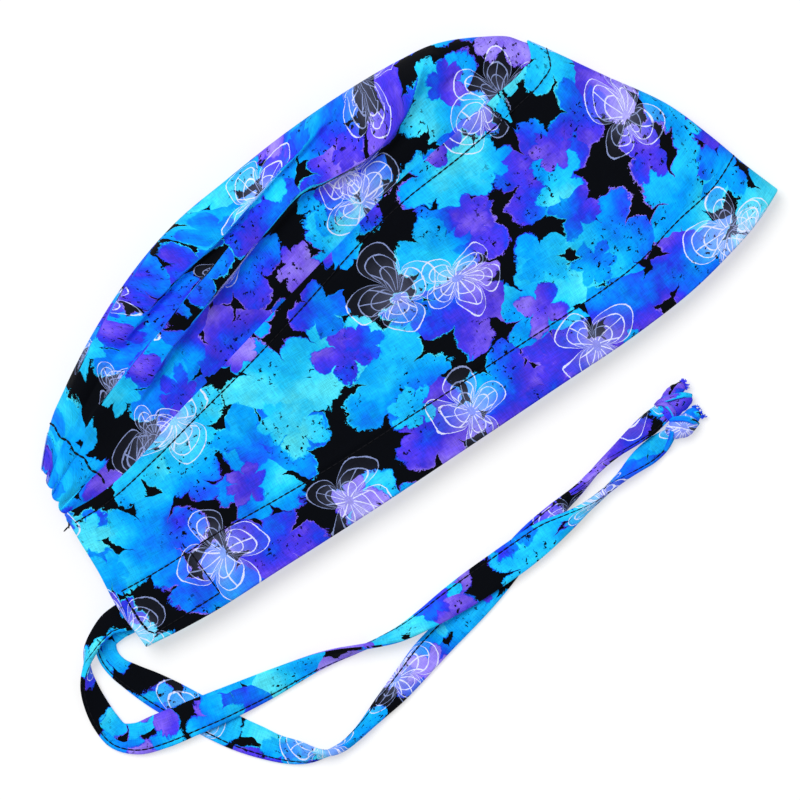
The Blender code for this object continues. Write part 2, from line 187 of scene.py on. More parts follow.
# %% Reading the outlines
def reading(table, column, at):
    """Smooth value of one column of a table at the places given in its first column."""
    xs = table[:, 0]
    ys = table[:, column]
    slopes = np.gradient(ys, xs)
    at = np.clip(np.asarray(at, float), xs[0], xs[-1])
    i = np.clip(np.searchsorted(xs, at, side="right") - 1, 0, len(xs) - 2)
    step = xs[i + 1] - xs[i]
    s = (at - xs[i]) / step
    start = (1 + 2 * s) * (1 - s) ** 2 * ys[i] + s * (1 - s) ** 2 * step * slopes[i]
    end = s * s * (3 - 2 * s) * ys[i + 1] + s * s * (s - 1) * step * slopes[i + 1]
    return start + end


def eased(value):
    value = np.clip(value, 0, 1)
    return value * value * (3 - 2 * value)


def brim_line(u):
    return np.stack([u * CAP_LENGTH, -BRIM_BELLY * reading(BRIM, 1, u)], -1)


def back_line(t):
    return np.stack([BACK_SETBACK * reading(BACK, 1, t), t * BACK_HEIGHT], -1)


def front_line(t):
    return np.stack([CAP_LENGTH - FRONT_SETBACK * reading(FRONT, 1, t), t * FRONT_HEIGHT], -1)


def seam_line(u):
    start = np.array([BACK_SETBACK, BACK_HEIGHT])
    end = np.array([CAP_LENGTH - FRONT_SETBACK, FRONT_HEIGHT])
    share = np.stack([u, reading(SEAM, 1, u)], -1)
    return start + share * (end - start)


def crown_line(u):
    start = np.array([NAPE_SETBACK, NAPE_HEIGHT])
    end = np.array([CAP_LENGTH - FRONT_SETBACK, FRONT_HEIGHT])
    line = start + np.stack([u, u], -1) * (end - start)
    line[..., 1] += CROWN_ARCH * reading(CROWN, 1, u)
    return line


def band_plan(u, t):
    """Plan of the band: u from the back to the front fold, t from the brim to the seam."""
    u, t = np.broadcast_arrays(np.asarray(u, float), np.asarray(t, float))
    a = u[..., None]
    b = t[..., None]
    across = (1 - b) * brim_line(u) + b * seam_line(u)
    along = (1 - a) * back_line(t) + a * front_line(t)
    back_low, front_low = brim_line(np.array([0.0, 1.0]))
    back_high, front_high = seam_line(np.array([0.0, 1.0]))
    low = (1 - a) * back_low + a * front_low
    high = (1 - a) * back_high + a * front_high
    return across + along - (1 - b) * low - b * high


def lengths_along(line):
    """Distance gone along a line of points, at each point."""
    return np.concatenate([[0], np.cumsum(np.linalg.norm(np.diff(line, axis=0), axis=1))])


def evenly(line, shares):
    """Points at equal shares of the length of a line of points."""
    gone = lengths_along(line)
    places = np.asarray(shares) * gone[-1]
    return np.stack([np.interp(places, gone, line[:, i]) for i in range(line.shape[1])], -1)


SHARES = np.linspace(0, 1, CURVE_SAMPLES)
BRIM_LINE = brim_line(SHARES)
SEAM_LINE = seam_line(SHARES)
FRONT_LINE = front_line(SHARES)
CROWN_LINE = crown_line(SHARES)
BAND_WIDTH = np.linalg.norm(SEAM_LINE - BRIM_LINE, axis=1)
SILHOUETTE = np.concatenate([FRONT_LINE, CROWN_LINE[::-1][1:]])
STITCH_LINE = band_plan(SHARES, 1 - SEAM_LAP / BAND_WIDTH)
TUCK = FRONT_LINE[FRONT_LINE[:, 1] > STITCH_LINE[-1, 1]][::-1]
CROWN_EDGE = np.concatenate([CROWN_LINE, TUCK[1:], STITCH_LINE[-1:]])
CROWN_RUN = lengths_along(CROWN_EDGE)[-1]
CENTRE = np.array([CAP_LENGTH / 2, (CROWN_LINE[:, 1].max() - BRIM_BELLY) / 2, 0])
print("band width at the back and front:", BAND_WIDTH[[0, -1]].round(4))
print("crown run:", round(float(CROWN_RUN), 4))

# %% [markdown]
# ## Loft
#
# A cap that is folded flat is a shallow pillow: the upper layer swells up from the folded edge, and the
# under layer lies on the table. Every point of the cloth is worked out in plan and then lifted by the
# same rule, a quarter ellipse that starts at the folded edge. The rule also gives the way outwards, which
# is needed to lay one ply inside another.

# %% Lifting the plan into the folded shape
PLAIN_RUN = 1e-9


def nearest_on(line, points):
    """Distance from each point to a line of points, with the line's right-hand side and place there."""
    starts = line[:-1]
    runs = np.diff(line, axis=0)
    right = np.stack([runs[:, 1], -runs[:, 0]], -1)
    right /= np.linalg.norm(right, axis=1)[:, None]
    gaps = points[..., None, :] - starts
    share = np.clip((gaps * runs).sum(-1) / ((runs * runs).sum(-1) + PLAIN_RUN ** 2), 0, 1)
    reach = np.linalg.norm(gaps - share[..., None] * runs, axis=-1)
    near = reach.argmin(-1)
    side = (gaps * right).sum(-1)
    pick = near[..., None]
    gone = lengths_along(line)
    place = (near + np.take_along_axis(share, pick, -1)[..., 0])
    return (
        np.take_along_axis(reach, pick, -1)[..., 0],
        right[near],
        np.take_along_axis(side, pick, -1)[..., 0],
        np.interp(place, np.arange(len(gone)), gone / gone[-1]),
    )


def by_rows(line, points):
    """The same for a whole grid, a row at a time, so that the working arrays stay small."""
    rows = [nearest_on(line, row) for row in points]
    return [np.stack(part) for part in zip(*rows)]


def half_loft(points):
    """Half the height of the folded cap over each point of the plan, away from its folded edge."""
    along = np.clip(points[..., 0] / CAP_LENGTH, 0, 1)
    low = -BRIM_BELLY * reading(BRIM, 1, along)
    order = np.argsort(SILHOUETTE[:, 0])
    high = np.interp(points[..., 0], SILHOUETTE[order, 0], SILHOUETTE[order, 1])
    up = np.clip((points[..., 1] - low) / np.maximum(high - low, CAP_LOFT), 0, 1)
    brim, middle, crown = (reading(LOFT, column, along) for column in (1, 2, 3))
    first = brim + (middle - brim) * up / LOFT_MIDDLE
    second = middle + (crown - middle) * (up - LOFT_MIDDLE) / (1 - LOFT_MIDDLE)
    return CAP_LOFT * np.where(up < LOFT_MIDDLE, first, second) / 2


def lifted(points, side, relief=0.0):
    """Points of the plan on the upper (side 1) or under (side -1) layer, and the way out of the cloth."""
    half = half_loft(points)
    distance, outward, _, _ = by_rows(SILHOUETTE, points)
    reach = FOLD_REACH * half
    inward = np.clip(distance / reach, 0, 1)
    swell = np.sqrt(1 - (1 - inward) ** 2)
    height = half * (1 + side * swell) + relief * swell
    way = np.concatenate([outward * ((1 - inward) / reach)[..., None], (side * swell / half)[..., None]], -1)
    way /= np.linalg.norm(way, axis=-1)[..., None]
    return np.concatenate([points, height[..., None]], -1), way


def round_fold(cells, share):
    """Shares along one layer that close up towards the fold at 1."""
    angles = np.linspace(math.pi / 2, 0, cells + 1)
    return 1 - share * (1 - np.cos(angles))


def both_layers(cells, fold_share):
    """(share, side) of each line of points: along the upper layer, round the fold, back underneath."""
    upper_cells, fold_cells, under_cells = cells
    fold = round_fold(fold_cells, fold_share)
    upper = np.concatenate([np.linspace(0, fold[0], upper_cells + 1), fold[1:]])
    under = np.concatenate([fold[:-1][::-1], np.linspace(fold[0], 0, under_cells + 1)[1:]])
    return np.concatenate([upper, under]), np.concatenate([np.ones(len(upper)), -np.ones(len(under))])


# %% [markdown]
# ## Turned edges
#
# A hem is the cloth's own edge turned inside. Seen in section it is a half circle that starts on the
# outer face and ends on an inner ply. A turned edge is written as a list of (distance from the fold,
# depth inside the outer face), so the same list serves the brim, the seam and the nape.

# %% A turned edge
TURN_STEPS = 6


def turned_edge(radius, ply_end, ply_steps):
    """(distance, depth) of the rows from the end of the inner ply, round the fold, to the outer face."""
    ply = np.linspace(ply_end, radius, ply_steps, endpoint=False)
    angle = np.linspace(math.pi, 0, TURN_STEPS + 1)
    distance = np.concatenate([ply, radius * (1 - np.sin(angle))])
    depth = np.concatenate([np.full(ply_steps, 2 * radius), radius * (1 - np.cos(angle))])
    return distance, depth


# %% [markdown]
# ## Soft irregularity
#
# Laid cloth is never perfectly smooth. A few long sine waves in fixed random directions give low swells
# that repeat nowhere on a piece this size, and the seed keeps them the same on every run.

# %% Slow swells in the cloth
SWELL_WAVES = 9
SWELL_LONGEST = 0.085
SWELL_SHORTEST = 0.022


def swells(points, seed):
    """A smooth random height about -1 to 1 over the plan."""
    chance = np.random.default_rng(seed)
    height = np.zeros(points.shape[:-1])
    for _ in range(SWELL_WAVES):
        length = chance.uniform(SWELL_SHORTEST, SWELL_LONGEST)
        heading = chance.uniform(0, math.pi)
        phase = chance.uniform(0, 2 * math.pi)
        along = points[..., 0] * math.cos(heading) + points[..., 1] * math.sin(heading)
        height += np.sin(2 * math.pi * along / length + phase) * math.sqrt(length / SWELL_LONGEST)
    return height / math.sqrt(SWELL_WAVES)


# %% [markdown]
# ## Making cloth from a grid
#
# Each sheet starts as a bmesh grid, and its points are then moved to their places, so the faces are
# Blender's own. The sheet's place on the flat cloth goes into a UV map in metres: the print and the weave
# read it, so they bend with the cloth, as they do on the real cap. A Solidify modifier gives the cloth its
# thickness and its paler wrong side.

# %% Cloth on a grid of points
FLAT_MAP = "flat_cloth"
WELD = 1e-6
GRID_DIGITS = 5


def mesh_of(bm, name):
    """The mesh made from a bmesh, which is then freed."""
    mesh = bpy.data.meshes.new(name)
    bm.to_mesh(mesh)
    bm.free()
    return mesh


def lay_flat(bm, shift=(0.0, 0.0)):
    """Takes each point's place in plan, moved by the shift, as its place on the flat cloth."""
    layer = bm.loops.layers.uv.new(FLAT_MAP)
    for face in bm.faces:
        for loop in face.loops:
            loop[layer].uv = (loop.vert.co.x + shift[0], loop.vert.co.y + shift[1])


def grid_mesh(name, points, flat):
    """A grid whose rows and columns of points are moved to the places given."""
    rows, columns = points.shape[:2]
    bm = bmesh.new()
    bmesh.ops.create_grid(bm, x_segments=columns - 1, y_segments=rows - 1, size=0.5)
    mesh = mesh_of(bm, name)
    start = np.empty(len(mesh.vertices) * 3, np.float32)
    mesh.vertices.foreach_get("co", start)
    start = start.reshape(-1, 3).round(GRID_DIGITS)
    order = np.lexsort((start[:, 0], start[:, 1]))
    placed = np.empty((len(order), 3), np.float32)
    placed[order] = points.reshape(-1, 3) - CENTRE
    mesh.vertices.foreach_set("co", placed.ravel())
    spread = np.empty((len(order), 2), np.float32)
    spread[order] = flat.reshape(-1, 2)
    corners = np.empty(len(mesh.loops), np.int32)
    mesh.loops.foreach_get("vertex_index", corners)
    mesh.uv_layers.new(name=FLAT_MAP).data.foreach_set("uv", spread[corners].ravel())
    mesh.update()
    return mesh


def add_piece(name, mesh, materials):
    mesh.name = name
    for material in materials:
        mesh.materials.append(material)
    mesh.shade_smooth()
    piece = bpy.data.objects.new(name, mesh)
    bpy.context.scene.collection.objects.link(piece)
    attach(piece, "root")
    return piece


def cloth_lengths(points, axis):
    """Distance gone along the cloth itself at each point of a grid, down its rows or along them."""
    steps = np.linalg.norm(np.diff(points, axis=axis), axis=-1)
    start = np.zeros_like(np.take(steps, [0], axis=axis))
    return np.concatenate([start, np.cumsum(steps, axis=axis)], axis=axis)


def cloth_sheet(name, points, flat, materials, thickness):
    """A sheet of cloth whose outer face lies on the points."""
    piece = add_piece(name, grid_mesh(name, points, flat), materials)
    wall = piece.modifiers.new("thickness", "SOLIDIFY")
    wall.thickness = thickness
    wall.offset = -1
    wall.material_offset = 1
    print(name, len(piece.data.polygons) * 4, "triangles")
    return piece


def closed_tube(name, points, flat):
    """A grid whose first and last rows meet, with its two ends filled."""
    mesh = grid_mesh(name, points, flat)
    bm = bmesh.new()
    bm.from_mesh(mesh)
    bmesh.ops.remove_doubles(bm, verts=bm.verts, dist=WELD)
    open_edges = [edge for edge in bm.edges if edge.is_boundary]
    bmesh.ops.holes_fill(bm, edges=open_edges, sides=0)
    bm.to_mesh(mesh)
    bm.free()
    return mesh


# %% [markdown]
# ## Shader recipes
#
# Node trees are long to write by hand, so a small helper adds one node at a time. A value handed to it is
# either a number or the output of an earlier node. Paint colours are written as screen values and turned
# into the linear light that shaders use.

# %% A helper for node trees
class Recipe:
    """Adds nodes to one tree."""

    def __init__(self, tree):
        self.tree = tree

    def add(self, kind, inputs=None, output=0, **settings):
        node = self.tree.nodes.new("ShaderNode" + kind)
        for name, value in settings.items():
            setattr(node, name, value)
        for socket, value in (inputs or {}).items():
            if isinstance(value, bpy.types.NodeSocket):
                self.tree.links.new(value, node.inputs[socket])
            else:
                node.inputs[socket].default_value = value
        return node.outputs[output]

    def math(self, operation, *values):
        return self.add("Math", dict(enumerate(values)), operation=operation)

    def vector(self, operation, *values, output=0):
        return self.add("VectorMath", dict(enumerate(values)), output=output, operation=operation)

    def mix(self, share, first, second):
        return self.add("Mix", {0: share, 6: first, 7: second}, output=2, data_type="RGBA")

    def blend(self, share, first, second):
        return self.add("Mix", {0: share, 2: first, 3: second}, output=0, data_type="FLOAT")

    def ease(self, value, low, high, start=0.0, end=1.0):
        """start below low, end above high, and a smooth change between."""
        inputs = {0: value, 1: low, 2: high, 3: start, 4: end}
        return self.add("MapRange", inputs, interpolation_type="SMOOTHSTEP")

    def noise(self, place, scale, detail=2.0, roughness=0.5):
        inputs = {"Vector": place, "Scale": scale, "Detail": detail, "Roughness": roughness}
        return self.add("TexNoise", inputs, noise_dimensions="2D")

    def cells(self, place, density, randomness):
        inputs = {"Vector": place, "Scale": density, "Randomness": randomness}
        return self.add("TexVoronoi", inputs, voronoi_dimensions="2D", feature="F1").node

    def ramp(self, value, stops):
        node = self.add("ValToRGB", {0: value}).node
        bar = node.color_ramp
        while len(bar.elements) < len(stops):
            bar.elements.new(0.5)
        for element, (place, colour) in zip(bar.elements, stops):
            element.position = place
            element.color = colour
        return node.outputs[0]


def paint(red, green, blue):
    """Linear colour of a screen colour given as 0 to 255."""
    screen = np.array([red, green, blue]) / 255
    linear = np.where(screen <= 0.04045, screen / 12.92, ((screen + 0.055) / 1.055) ** 2.4)
    return (*(float(value) for value in linear), 1.0)


def new_group(name, inputs, outputs):
    """A node group with the sockets named, and its recipe, its inputs and its output node."""
    tree = bpy.data.node_groups.new(name, "ShaderNodeTree")
    for label, kind in inputs:
        tree.interface.new_socket(name=label, in_out="INPUT", socket_type="NodeSocket" + kind)
    for label, kind in outputs:
        tree.interface.new_socket(name=label, in_out="OUTPUT", socket_type="NodeSocket" + kind)
    given = tree.nodes.new("NodeGroupInput")
    result = tree.nodes.new("NodeGroupOutput")
    return tree, Recipe(tree), given.outputs, result.inputs


# %% [markdown]
# ## The print
#
# The cotton is printed with loose watercolour shapes in cyan, blue and violet on black, with flowers drawn
# over them in fine white line. Here the shapes are blossoms: Voronoi cells scatter their centres, and in
# each cell the distance from the centre is compared with a petalled outline whose edge a fine noise makes
# ragged. Building it from distances keeps every edge crisp at any size, which a painted noise would not.

# %% Scattered blossoms
FULL_TURN = 2 * math.pi
PETAL_ROUNDNESS = 0.55
SMALLEST, SIZE_SPREAD = 0.85, 0.3
# scale, detail and roughness
EDGE_NOISE = (330.0, 5.0, 0.74)
BLOSSOM_INPUTS = ("Density", "Reach", "Petals", "Core", "Ragged", "Scatter")
BLOSSOM_OUTPUTS = ("Inside", "Tone", "Radius", "Angle", "Outline", "Chance")


def blossom_group():
    """How far inside a scattered blossom each place is, in metres, and that blossom's own tone."""
    inputs = [("Place", "Vector")] + [(label, "Float") for label in BLOSSOM_INPUTS]
    outputs = [(label, "Float") for label in BLOSSOM_OUTPUTS]
    tree, r, given, result = new_group("scattered blossoms", inputs, outputs)
    cells = r.cells(given["Place"], given["Density"], given["Scatter"])
    chance = r.add("SeparateColor", {0: cells.outputs["Color"]}).node
    arm = r.vector("SUBTRACT", given["Place"], cells.outputs["Position"])
    radius = r.vector("LENGTH", arm, output="Value")
    parts = r.add("SeparateXYZ", {0: arm}).node
    turn = r.math("MULTIPLY", chance.outputs[0], FULL_TURN)
    angle = r.math("ADD", r.math("ARCTAN2", parts.outputs[1], parts.outputs[0]), turn)
    half = r.math("MULTIPLY", r.math("MULTIPLY", angle, given["Petals"]), 0.5)
    petal = r.math("POWER", r.math("ABSOLUTE", r.math("COSINE", half)), PETAL_ROUNDNESS)
    shape = r.blend(petal, given["Core"], 1.0)
    size = r.math("ADD", SMALLEST, r.math("MULTIPLY", chance.outputs[2], SIZE_SPREAD))
    size = r.math("MULTIPLY", given["Reach"], size)
    outline = r.math("MULTIPLY", shape, size)
    fray = r.math("SUBTRACT", r.noise(given["Place"], *EDGE_NOISE), 0.5)
    fray = r.math("MULTIPLY", fray, given["Ragged"])
    inside = r.math("SUBTRACT", r.math("ADD", outline, fray), radius)
    found = (inside, chance.outputs[1], radius, angle, outline, chance.outputs[2])
    for label, value in zip(BLOSSOM_OUTPUTS, found):
        tree.links.new(value, result[label])
    return tree


BLOSSOMS = blossom_group()


def blossoms(r, place, shift, *values):
    """One layer of the blossom group, moved so that the layers don't fall on each other."""
    node = r.tree.nodes.new("ShaderNodeGroup")
    node.node_tree = BLOSSOMS
    r.tree.links.new(r.vector("ADD", place, (*shift, 0.0)), node.inputs["Place"])
    for label, value in zip(BLOSSOM_INPUTS, values):
        node.inputs[label].default_value = value
    return node.outputs


# %% Colours of the print
GROUND = paint(2, 4, 10)
LINE = paint(226, 230, 255)
LINE_ON_GROUND = paint(140, 155, 205)
FILLED = paint(196, 204, 255)
TONES = [
    (0.00, paint(84, 230, 250)),
    (0.20, paint(30, 200, 253)),
    (0.38, paint(0, 160, 253)),
    (0.52, paint(12, 106, 248)),
    (0.62, paint(36, 58, 234)),
    (0.71, paint(74, 54, 228)),
    (0.82, paint(118, 90, 236)),
    (1.00, paint(160, 142, 250)),
]
# shift in metres, blossoms a metre, reach, petals, core share, raggedness, scatter, then the share of
# them that is printed
WASHES = [
    ((0.000, 0.000), (29.0, 0.0215, 5.0, 0.43, 0.0075, 0.80), 1.1),
    ((0.313, 0.171), (37.0, 0.0140, 4.0, 0.36, 0.0062, 0.70), 0.45),
    ((0.617, 0.433), (44.0, 0.0110, 6.0, 0.50, 0.0055, 0.70), 0.32),
]
# shift in metres, flowers a metre, reach, petals, core share, raggedness, scatter, then the veins in each
# petal and the share of the flowers that is drawn
DRAWINGS = [
    ((0.137, 0.291), (17.5, 0.0205, 4.0, 0.24, 0.0010, 0.35), 1.0, 0.62),
    ((0.471, 0.083), (16.0, 0.0180, 5.0, 0.30, 0.0010, 0.35), 1.0, 0.50),
]
LINE_WIDTH = 0.00026
LINE_ECHOES = (1.0, 0.76, 0.50)
FILL_EDGE = 0.0004
FILL_SHADE = (0.0, 0.8, 0.42, 0.04)
FILL_ON_GROUND = 0.25
LINE_INK = 0.86
VEIN_START = 0.10
VEIN_WIDTH = 0.8
# scale, detail and reach of the wandering of shapes and of drawn lines
WANDER = (58.0, 3.0, 0.0060)
DRAWN_WANDER = (60.0, 0.0, 0.0050)
# scale, detail and roughness
LINE_NOISE = (210.0, 2.0, 0.5)
FLOW_NOISE = (15.0, 2.0, 0.5)
POOL_NOISE = (62.0, 4.0, 0.6)
WET_NOISE = (48.0, 5.0, 0.65)
DAB_NOISE = (430.0, 3.0, 0.65)
ZONE_NOISE = (45.0, 1.0, 0.5)
# ranges of a value, and what they are eased to
LINE_RANGE = (0.3, 0.7, 0.6, 1.25)
FLOW_RANGE = (0.33, 0.67)
WET_RANGE = (0.30, 0.70, 0.80, 1.10)
DAB_RANGE = (0.63, 0.65)
ZONE_RANGE = (0.48, 0.60)
POOL_DEPTH = 0.50
OWN_TONE = 0.68
WASH_BLEED = 0.0012
WASH_EDGE = 0.0001
WANDER_ROUGHNESS = 0.6


# %% The drawn flowers
def drawn_flower(r, place, drawing):
    """Where a layer of white-line flowers is inked, how filled it is, and how far in it is."""
    shift, values, veins, share = drawing
    reach, petals = values[1:3]
    flower = blossoms(r, place, shift, *values)
    ragged = r.math("ADD", flower["Inside"], flower["Radius"])
    width = r.math("MULTIPLY", r.ease(r.noise(place, *LINE_NOISE), *LINE_RANGE), LINE_WIDTH)
    inked = 0.0
    for echo in LINE_ECHOES:
        gap = r.math("ABSOLUTE", r.math("SUBTRACT", r.math("MULTIPLY", ragged, echo), flower["Radius"]))
        inked = r.math("MAXIMUM", inked, r.math("LESS_THAN", gap, width))
    spokes = petals * (2 * veins + 1)
    spoke = r.math("PINGPONG", r.math("MULTIPLY", flower["Angle"], spokes / FULL_TURN), 0.5)
    off = r.math("MULTIPLY", r.math("MULTIPLY", spoke, flower["Radius"]), FULL_TURN / spokes)
    near = r.math("LESS_THAN", off, r.math("MULTIPLY", width, VEIN_WIDTH))
    within = r.math("LESS_THAN", flower["Radius"], r.math("MULTIPLY", ragged, LINE_ECHOES[1]))
    beyond = r.math("GREATER_THAN", flower["Radius"], reach * VEIN_START)
    vein = r.math("MULTIPLY", r.math("MULTIPLY", near, within), beyond)
    drawn = r.math("LESS_THAN", flower["Chance"], share)
    inked = r.math("MULTIPLY", r.math("MAXIMUM", inked, vein), drawn)
    body = r.math("MULTIPLY", r.ease(flower["Inside"], 0.0, FILL_EDGE), drawn)
    glow = r.ease(r.math("DIVIDE", flower["Radius"], reach), *FILL_SHADE)
    return inked, r.math("MULTIPLY", body, glow)


# %% The whole print
def wander(r, place, scale, detail, reach):
    """The place moved a little by noise, so that shapes laid out from it lose their regularity."""
    inputs = {"Vector": place, "Scale": scale, "Detail": detail, "Roughness": WANDER_ROUGHNESS}
    drift = r.add("TexNoise", inputs, output=1)
    drift = r.vector("SUBTRACT", drift, (0.5, 0.5, 0.5))
    return r.vector("ADD", place, r.vector("MULTIPLY", drift, (reach * 2, reach * 2, 0.0)))


def print_group():
    """Colour of the printed cotton at a place on the flat cloth."""
    tree, r, given, result = new_group("watercolour print", [("Place", "Vector")], [("Color", "Color")])
    place = given["Place"]
    wandering = wander(r, place, *WANDER)
    penned = wander(r, place, *DRAWN_WANDER)
    flow = r.ease(r.noise(place, *FLOW_NOISE), *FLOW_RANGE)
    tone, cover = flow, -1.0
    for shift, values, share in WASHES:
        wash = blossoms(r, wandering, shift, *values)
        printed = r.math("LESS_THAN", wash["Chance"], share)
        inside = r.blend(printed, -1.0, wash["Inside"])
        tone = r.blend(r.ease(inside, 0.0, WASH_BLEED), tone, r.blend(OWN_TONE, flow, wash["Tone"]))
        cover = r.math("MAXIMUM", cover, inside)
    pools = r.math("SUBTRACT", r.noise(place, *POOL_NOISE), 0.5)
    tone = r.math("ADD", tone, r.math("MULTIPLY", pools, POOL_DEPTH))
    colour = r.ramp(tone, TONES)
    wet = r.ease(r.noise(place, *WET_NOISE), *WET_RANGE)
    colour = r.vector("MULTIPLY", colour, r.add("CombineXYZ", {0: wet, 1: wet, 2: wet}))
    dabs = r.ease(r.noise(place, *DAB_NOISE), *DAB_RANGE)
    zone = r.ease(r.noise(place, *ZONE_NOISE), *ZONE_RANGE)
    bare = r.math("MULTIPLY", dabs, zone)
    covered = r.math("MULTIPLY", r.ease(cover, -WASH_EDGE, WASH_EDGE), r.math("SUBTRACT", 1.0, bare))
    colour = r.mix(covered, GROUND, colour)
    for drawing in DRAWINGS:
        inked, body = drawn_flower(r, penned, drawing)
        colour = r.mix(r.math("MULTIPLY", body, r.blend(covered, FILL_ON_GROUND, 1.0)), colour, FILLED)
        line = r.mix(covered, LINE_ON_GROUND, LINE)
        colour = r.mix(r.math("MULTIPLY", inked, LINE_INK), colour, line)
    tree.links.new(colour, result["Color"])
    return tree


PRINT = print_group()

# %% [markdown]
# ## Cotton
#
# Light printed cotton is matt with a faint sheen. Its plain weave shows as fine crossing ribs, and single
# threads are a little thicker or paler than the rest. Both come from noise stretched along the warp and the
# weft. The wrong side is the same print seen through the cloth, so it is paler.

# %% The cotton material
THREADS_A_METRE = 2600.0
THREAD_STRETCH = 14
WEAVE_HEIGHT = 0.00010
CREASE_NOISE = (95.0, 4.0, 0.55)
CREASE_DEPTH = 3.0
TINT_RANGE = (0.70, 1.30, 0.86, 1.12)
WEAVE_STRENGTH = 0.55
COTTON_ROUGHNESS = 0.82
COTTON_SHINE = 0.06
SHEEN = 0.015
SHEEN_ROUGHNESS = 0.5
WRONG_SIDE = paint(196, 214, 246)


def cotton(name, shift, turn=0.0, fade=0.0):
    """Printed cotton, cut from its own place on the printed length."""
    material = bpy.data.materials.new(name)
    material.use_nodes = True
    r = Recipe(material.node_tree)
    shader = material.node_tree.nodes["Principled BSDF"]
    flat = r.add("UVMap", uv_map=FLAT_MAP)
    place = r.add("Mapping", {"Vector": flat, "Location": (*shift, 0.0), "Rotation": (0, 0, turn)})
    node = material.node_tree.nodes.new("ShaderNodeGroup")
    node.node_tree = PRINT
    material.node_tree.links.new(place, node.inputs["Place"])
    colour = node.outputs["Color"]
    stretch = (THREADS_A_METRE, THREADS_A_METRE / THREAD_STRETCH, 1)
    warp = r.noise(r.vector("MULTIPLY", flat, stretch), 1.0, 1.0)
    weft = r.noise(r.vector("MULTIPLY", flat, (stretch[1], stretch[0], 1)), 1.0, 1.0)
    weave = r.math("ADD", warp, weft)
    tint = r.ease(weave, *TINT_RANGE)
    colour = r.vector("MULTIPLY", colour, r.add("CombineXYZ", {0: tint, 1: tint, 2: tint}))
    if fade:
        colour = r.mix(fade, colour, WRONG_SIDE)
    creases = r.math("MULTIPLY", r.noise(flat, *CREASE_NOISE), CREASE_DEPTH)
    height = r.math("ADD", weave, creases)
    bump = r.add("Bump", {"Height": height, "Strength": WEAVE_STRENGTH, "Distance": WEAVE_HEIGHT})
    material.node_tree.links.new(colour, shader.inputs["Base Color"])
    material.node_tree.links.new(bump, shader.inputs["Normal"])
    shader.inputs["Roughness"].default_value = COTTON_ROUGHNESS
    shader.inputs["Specular IOR Level"].default_value = COTTON_SHINE
    shader.inputs["Sheen Weight"].default_value = SHEEN
    shader.inputs["Sheen Roughness"].default_value = SHEEN_ROUGHNESS
    return material


WRONG_FADE = 0.55
BAND_COTTON = cotton("band cotton", (0.05, 0.11))
BAND_WRONG = cotton("band cotton, wrong side", (0.05, 0.11), fade=WRONG_FADE)
CROWN_COTTON = cotton("crown cotton", (1.31, 0.84), turn=0.35)
CROWN_WRONG = cotton("crown cotton, wrong side", (1.31, 0.84), turn=0.35, fade=WRONG_FADE)
UPPER_TIE_COTTON = cotton("upper tie cotton", (2.17, 0.37), turn=0.2)
LOWER_TIE_COTTON = cotton("lower tie cotton", (2.93, 1.52), turn=-0.3)


# %% The sewing thread
THREAD_DARK = paint(2, 2, 5)
THREAD_PALE = paint(17, 18, 26)
FLUFF_SCALE = 2500.0
FLUFF_HEIGHT = 0.00005
FLUFF_STRENGTH = 0.4
THREAD_ROUGHNESS = 0.7
THREAD_SHINE = 0.1


def thread_material():
    """Black spun thread, faintly glossy, with its twist as a fine bump."""
    material = bpy.data.materials.new("black thread")
    material.use_nodes = True
    r = Recipe(material.node_tree)
    shader = material.node_tree.nodes["Principled BSDF"]
    place = r.add("TexCoord", output="Object")
    fluff = r.add("TexNoise", {"Vector": place, "Scale": FLUFF_SCALE, "Detail": 2.0})
    colour = r.mix(fluff, THREAD_DARK, THREAD_PALE)
    material.node_tree.links.new(colour, shader.inputs["Base Color"])
    bump = r.add("Bump", {"Height": fluff, "Strength": FLUFF_STRENGTH, "Distance": FLUFF_HEIGHT})
    material.node_tree.links.new(bump, shader.inputs["Normal"])
    shader.inputs["Roughness"].default_value = THREAD_ROUGHNESS
    shader.inputs["Specular IOR Level"].default_value = THREAD_SHINE
    return material


THREAD = thread_material()

# %% [markdown]
# ## Ties
#
# Each tie is a long strip folded into four and stitched along one edge, about 12.5 mm wide. It lies loosely
# on the table, turns over on its way, and crosses the other tie. A route gives its centre, the height of its
# lowest edge, its width where it is pinched, and how far it has rolled. The section is a flat oval with a
# groove under the stitches, and a pinched tie is thicker, because its cloth has to go somewhere.

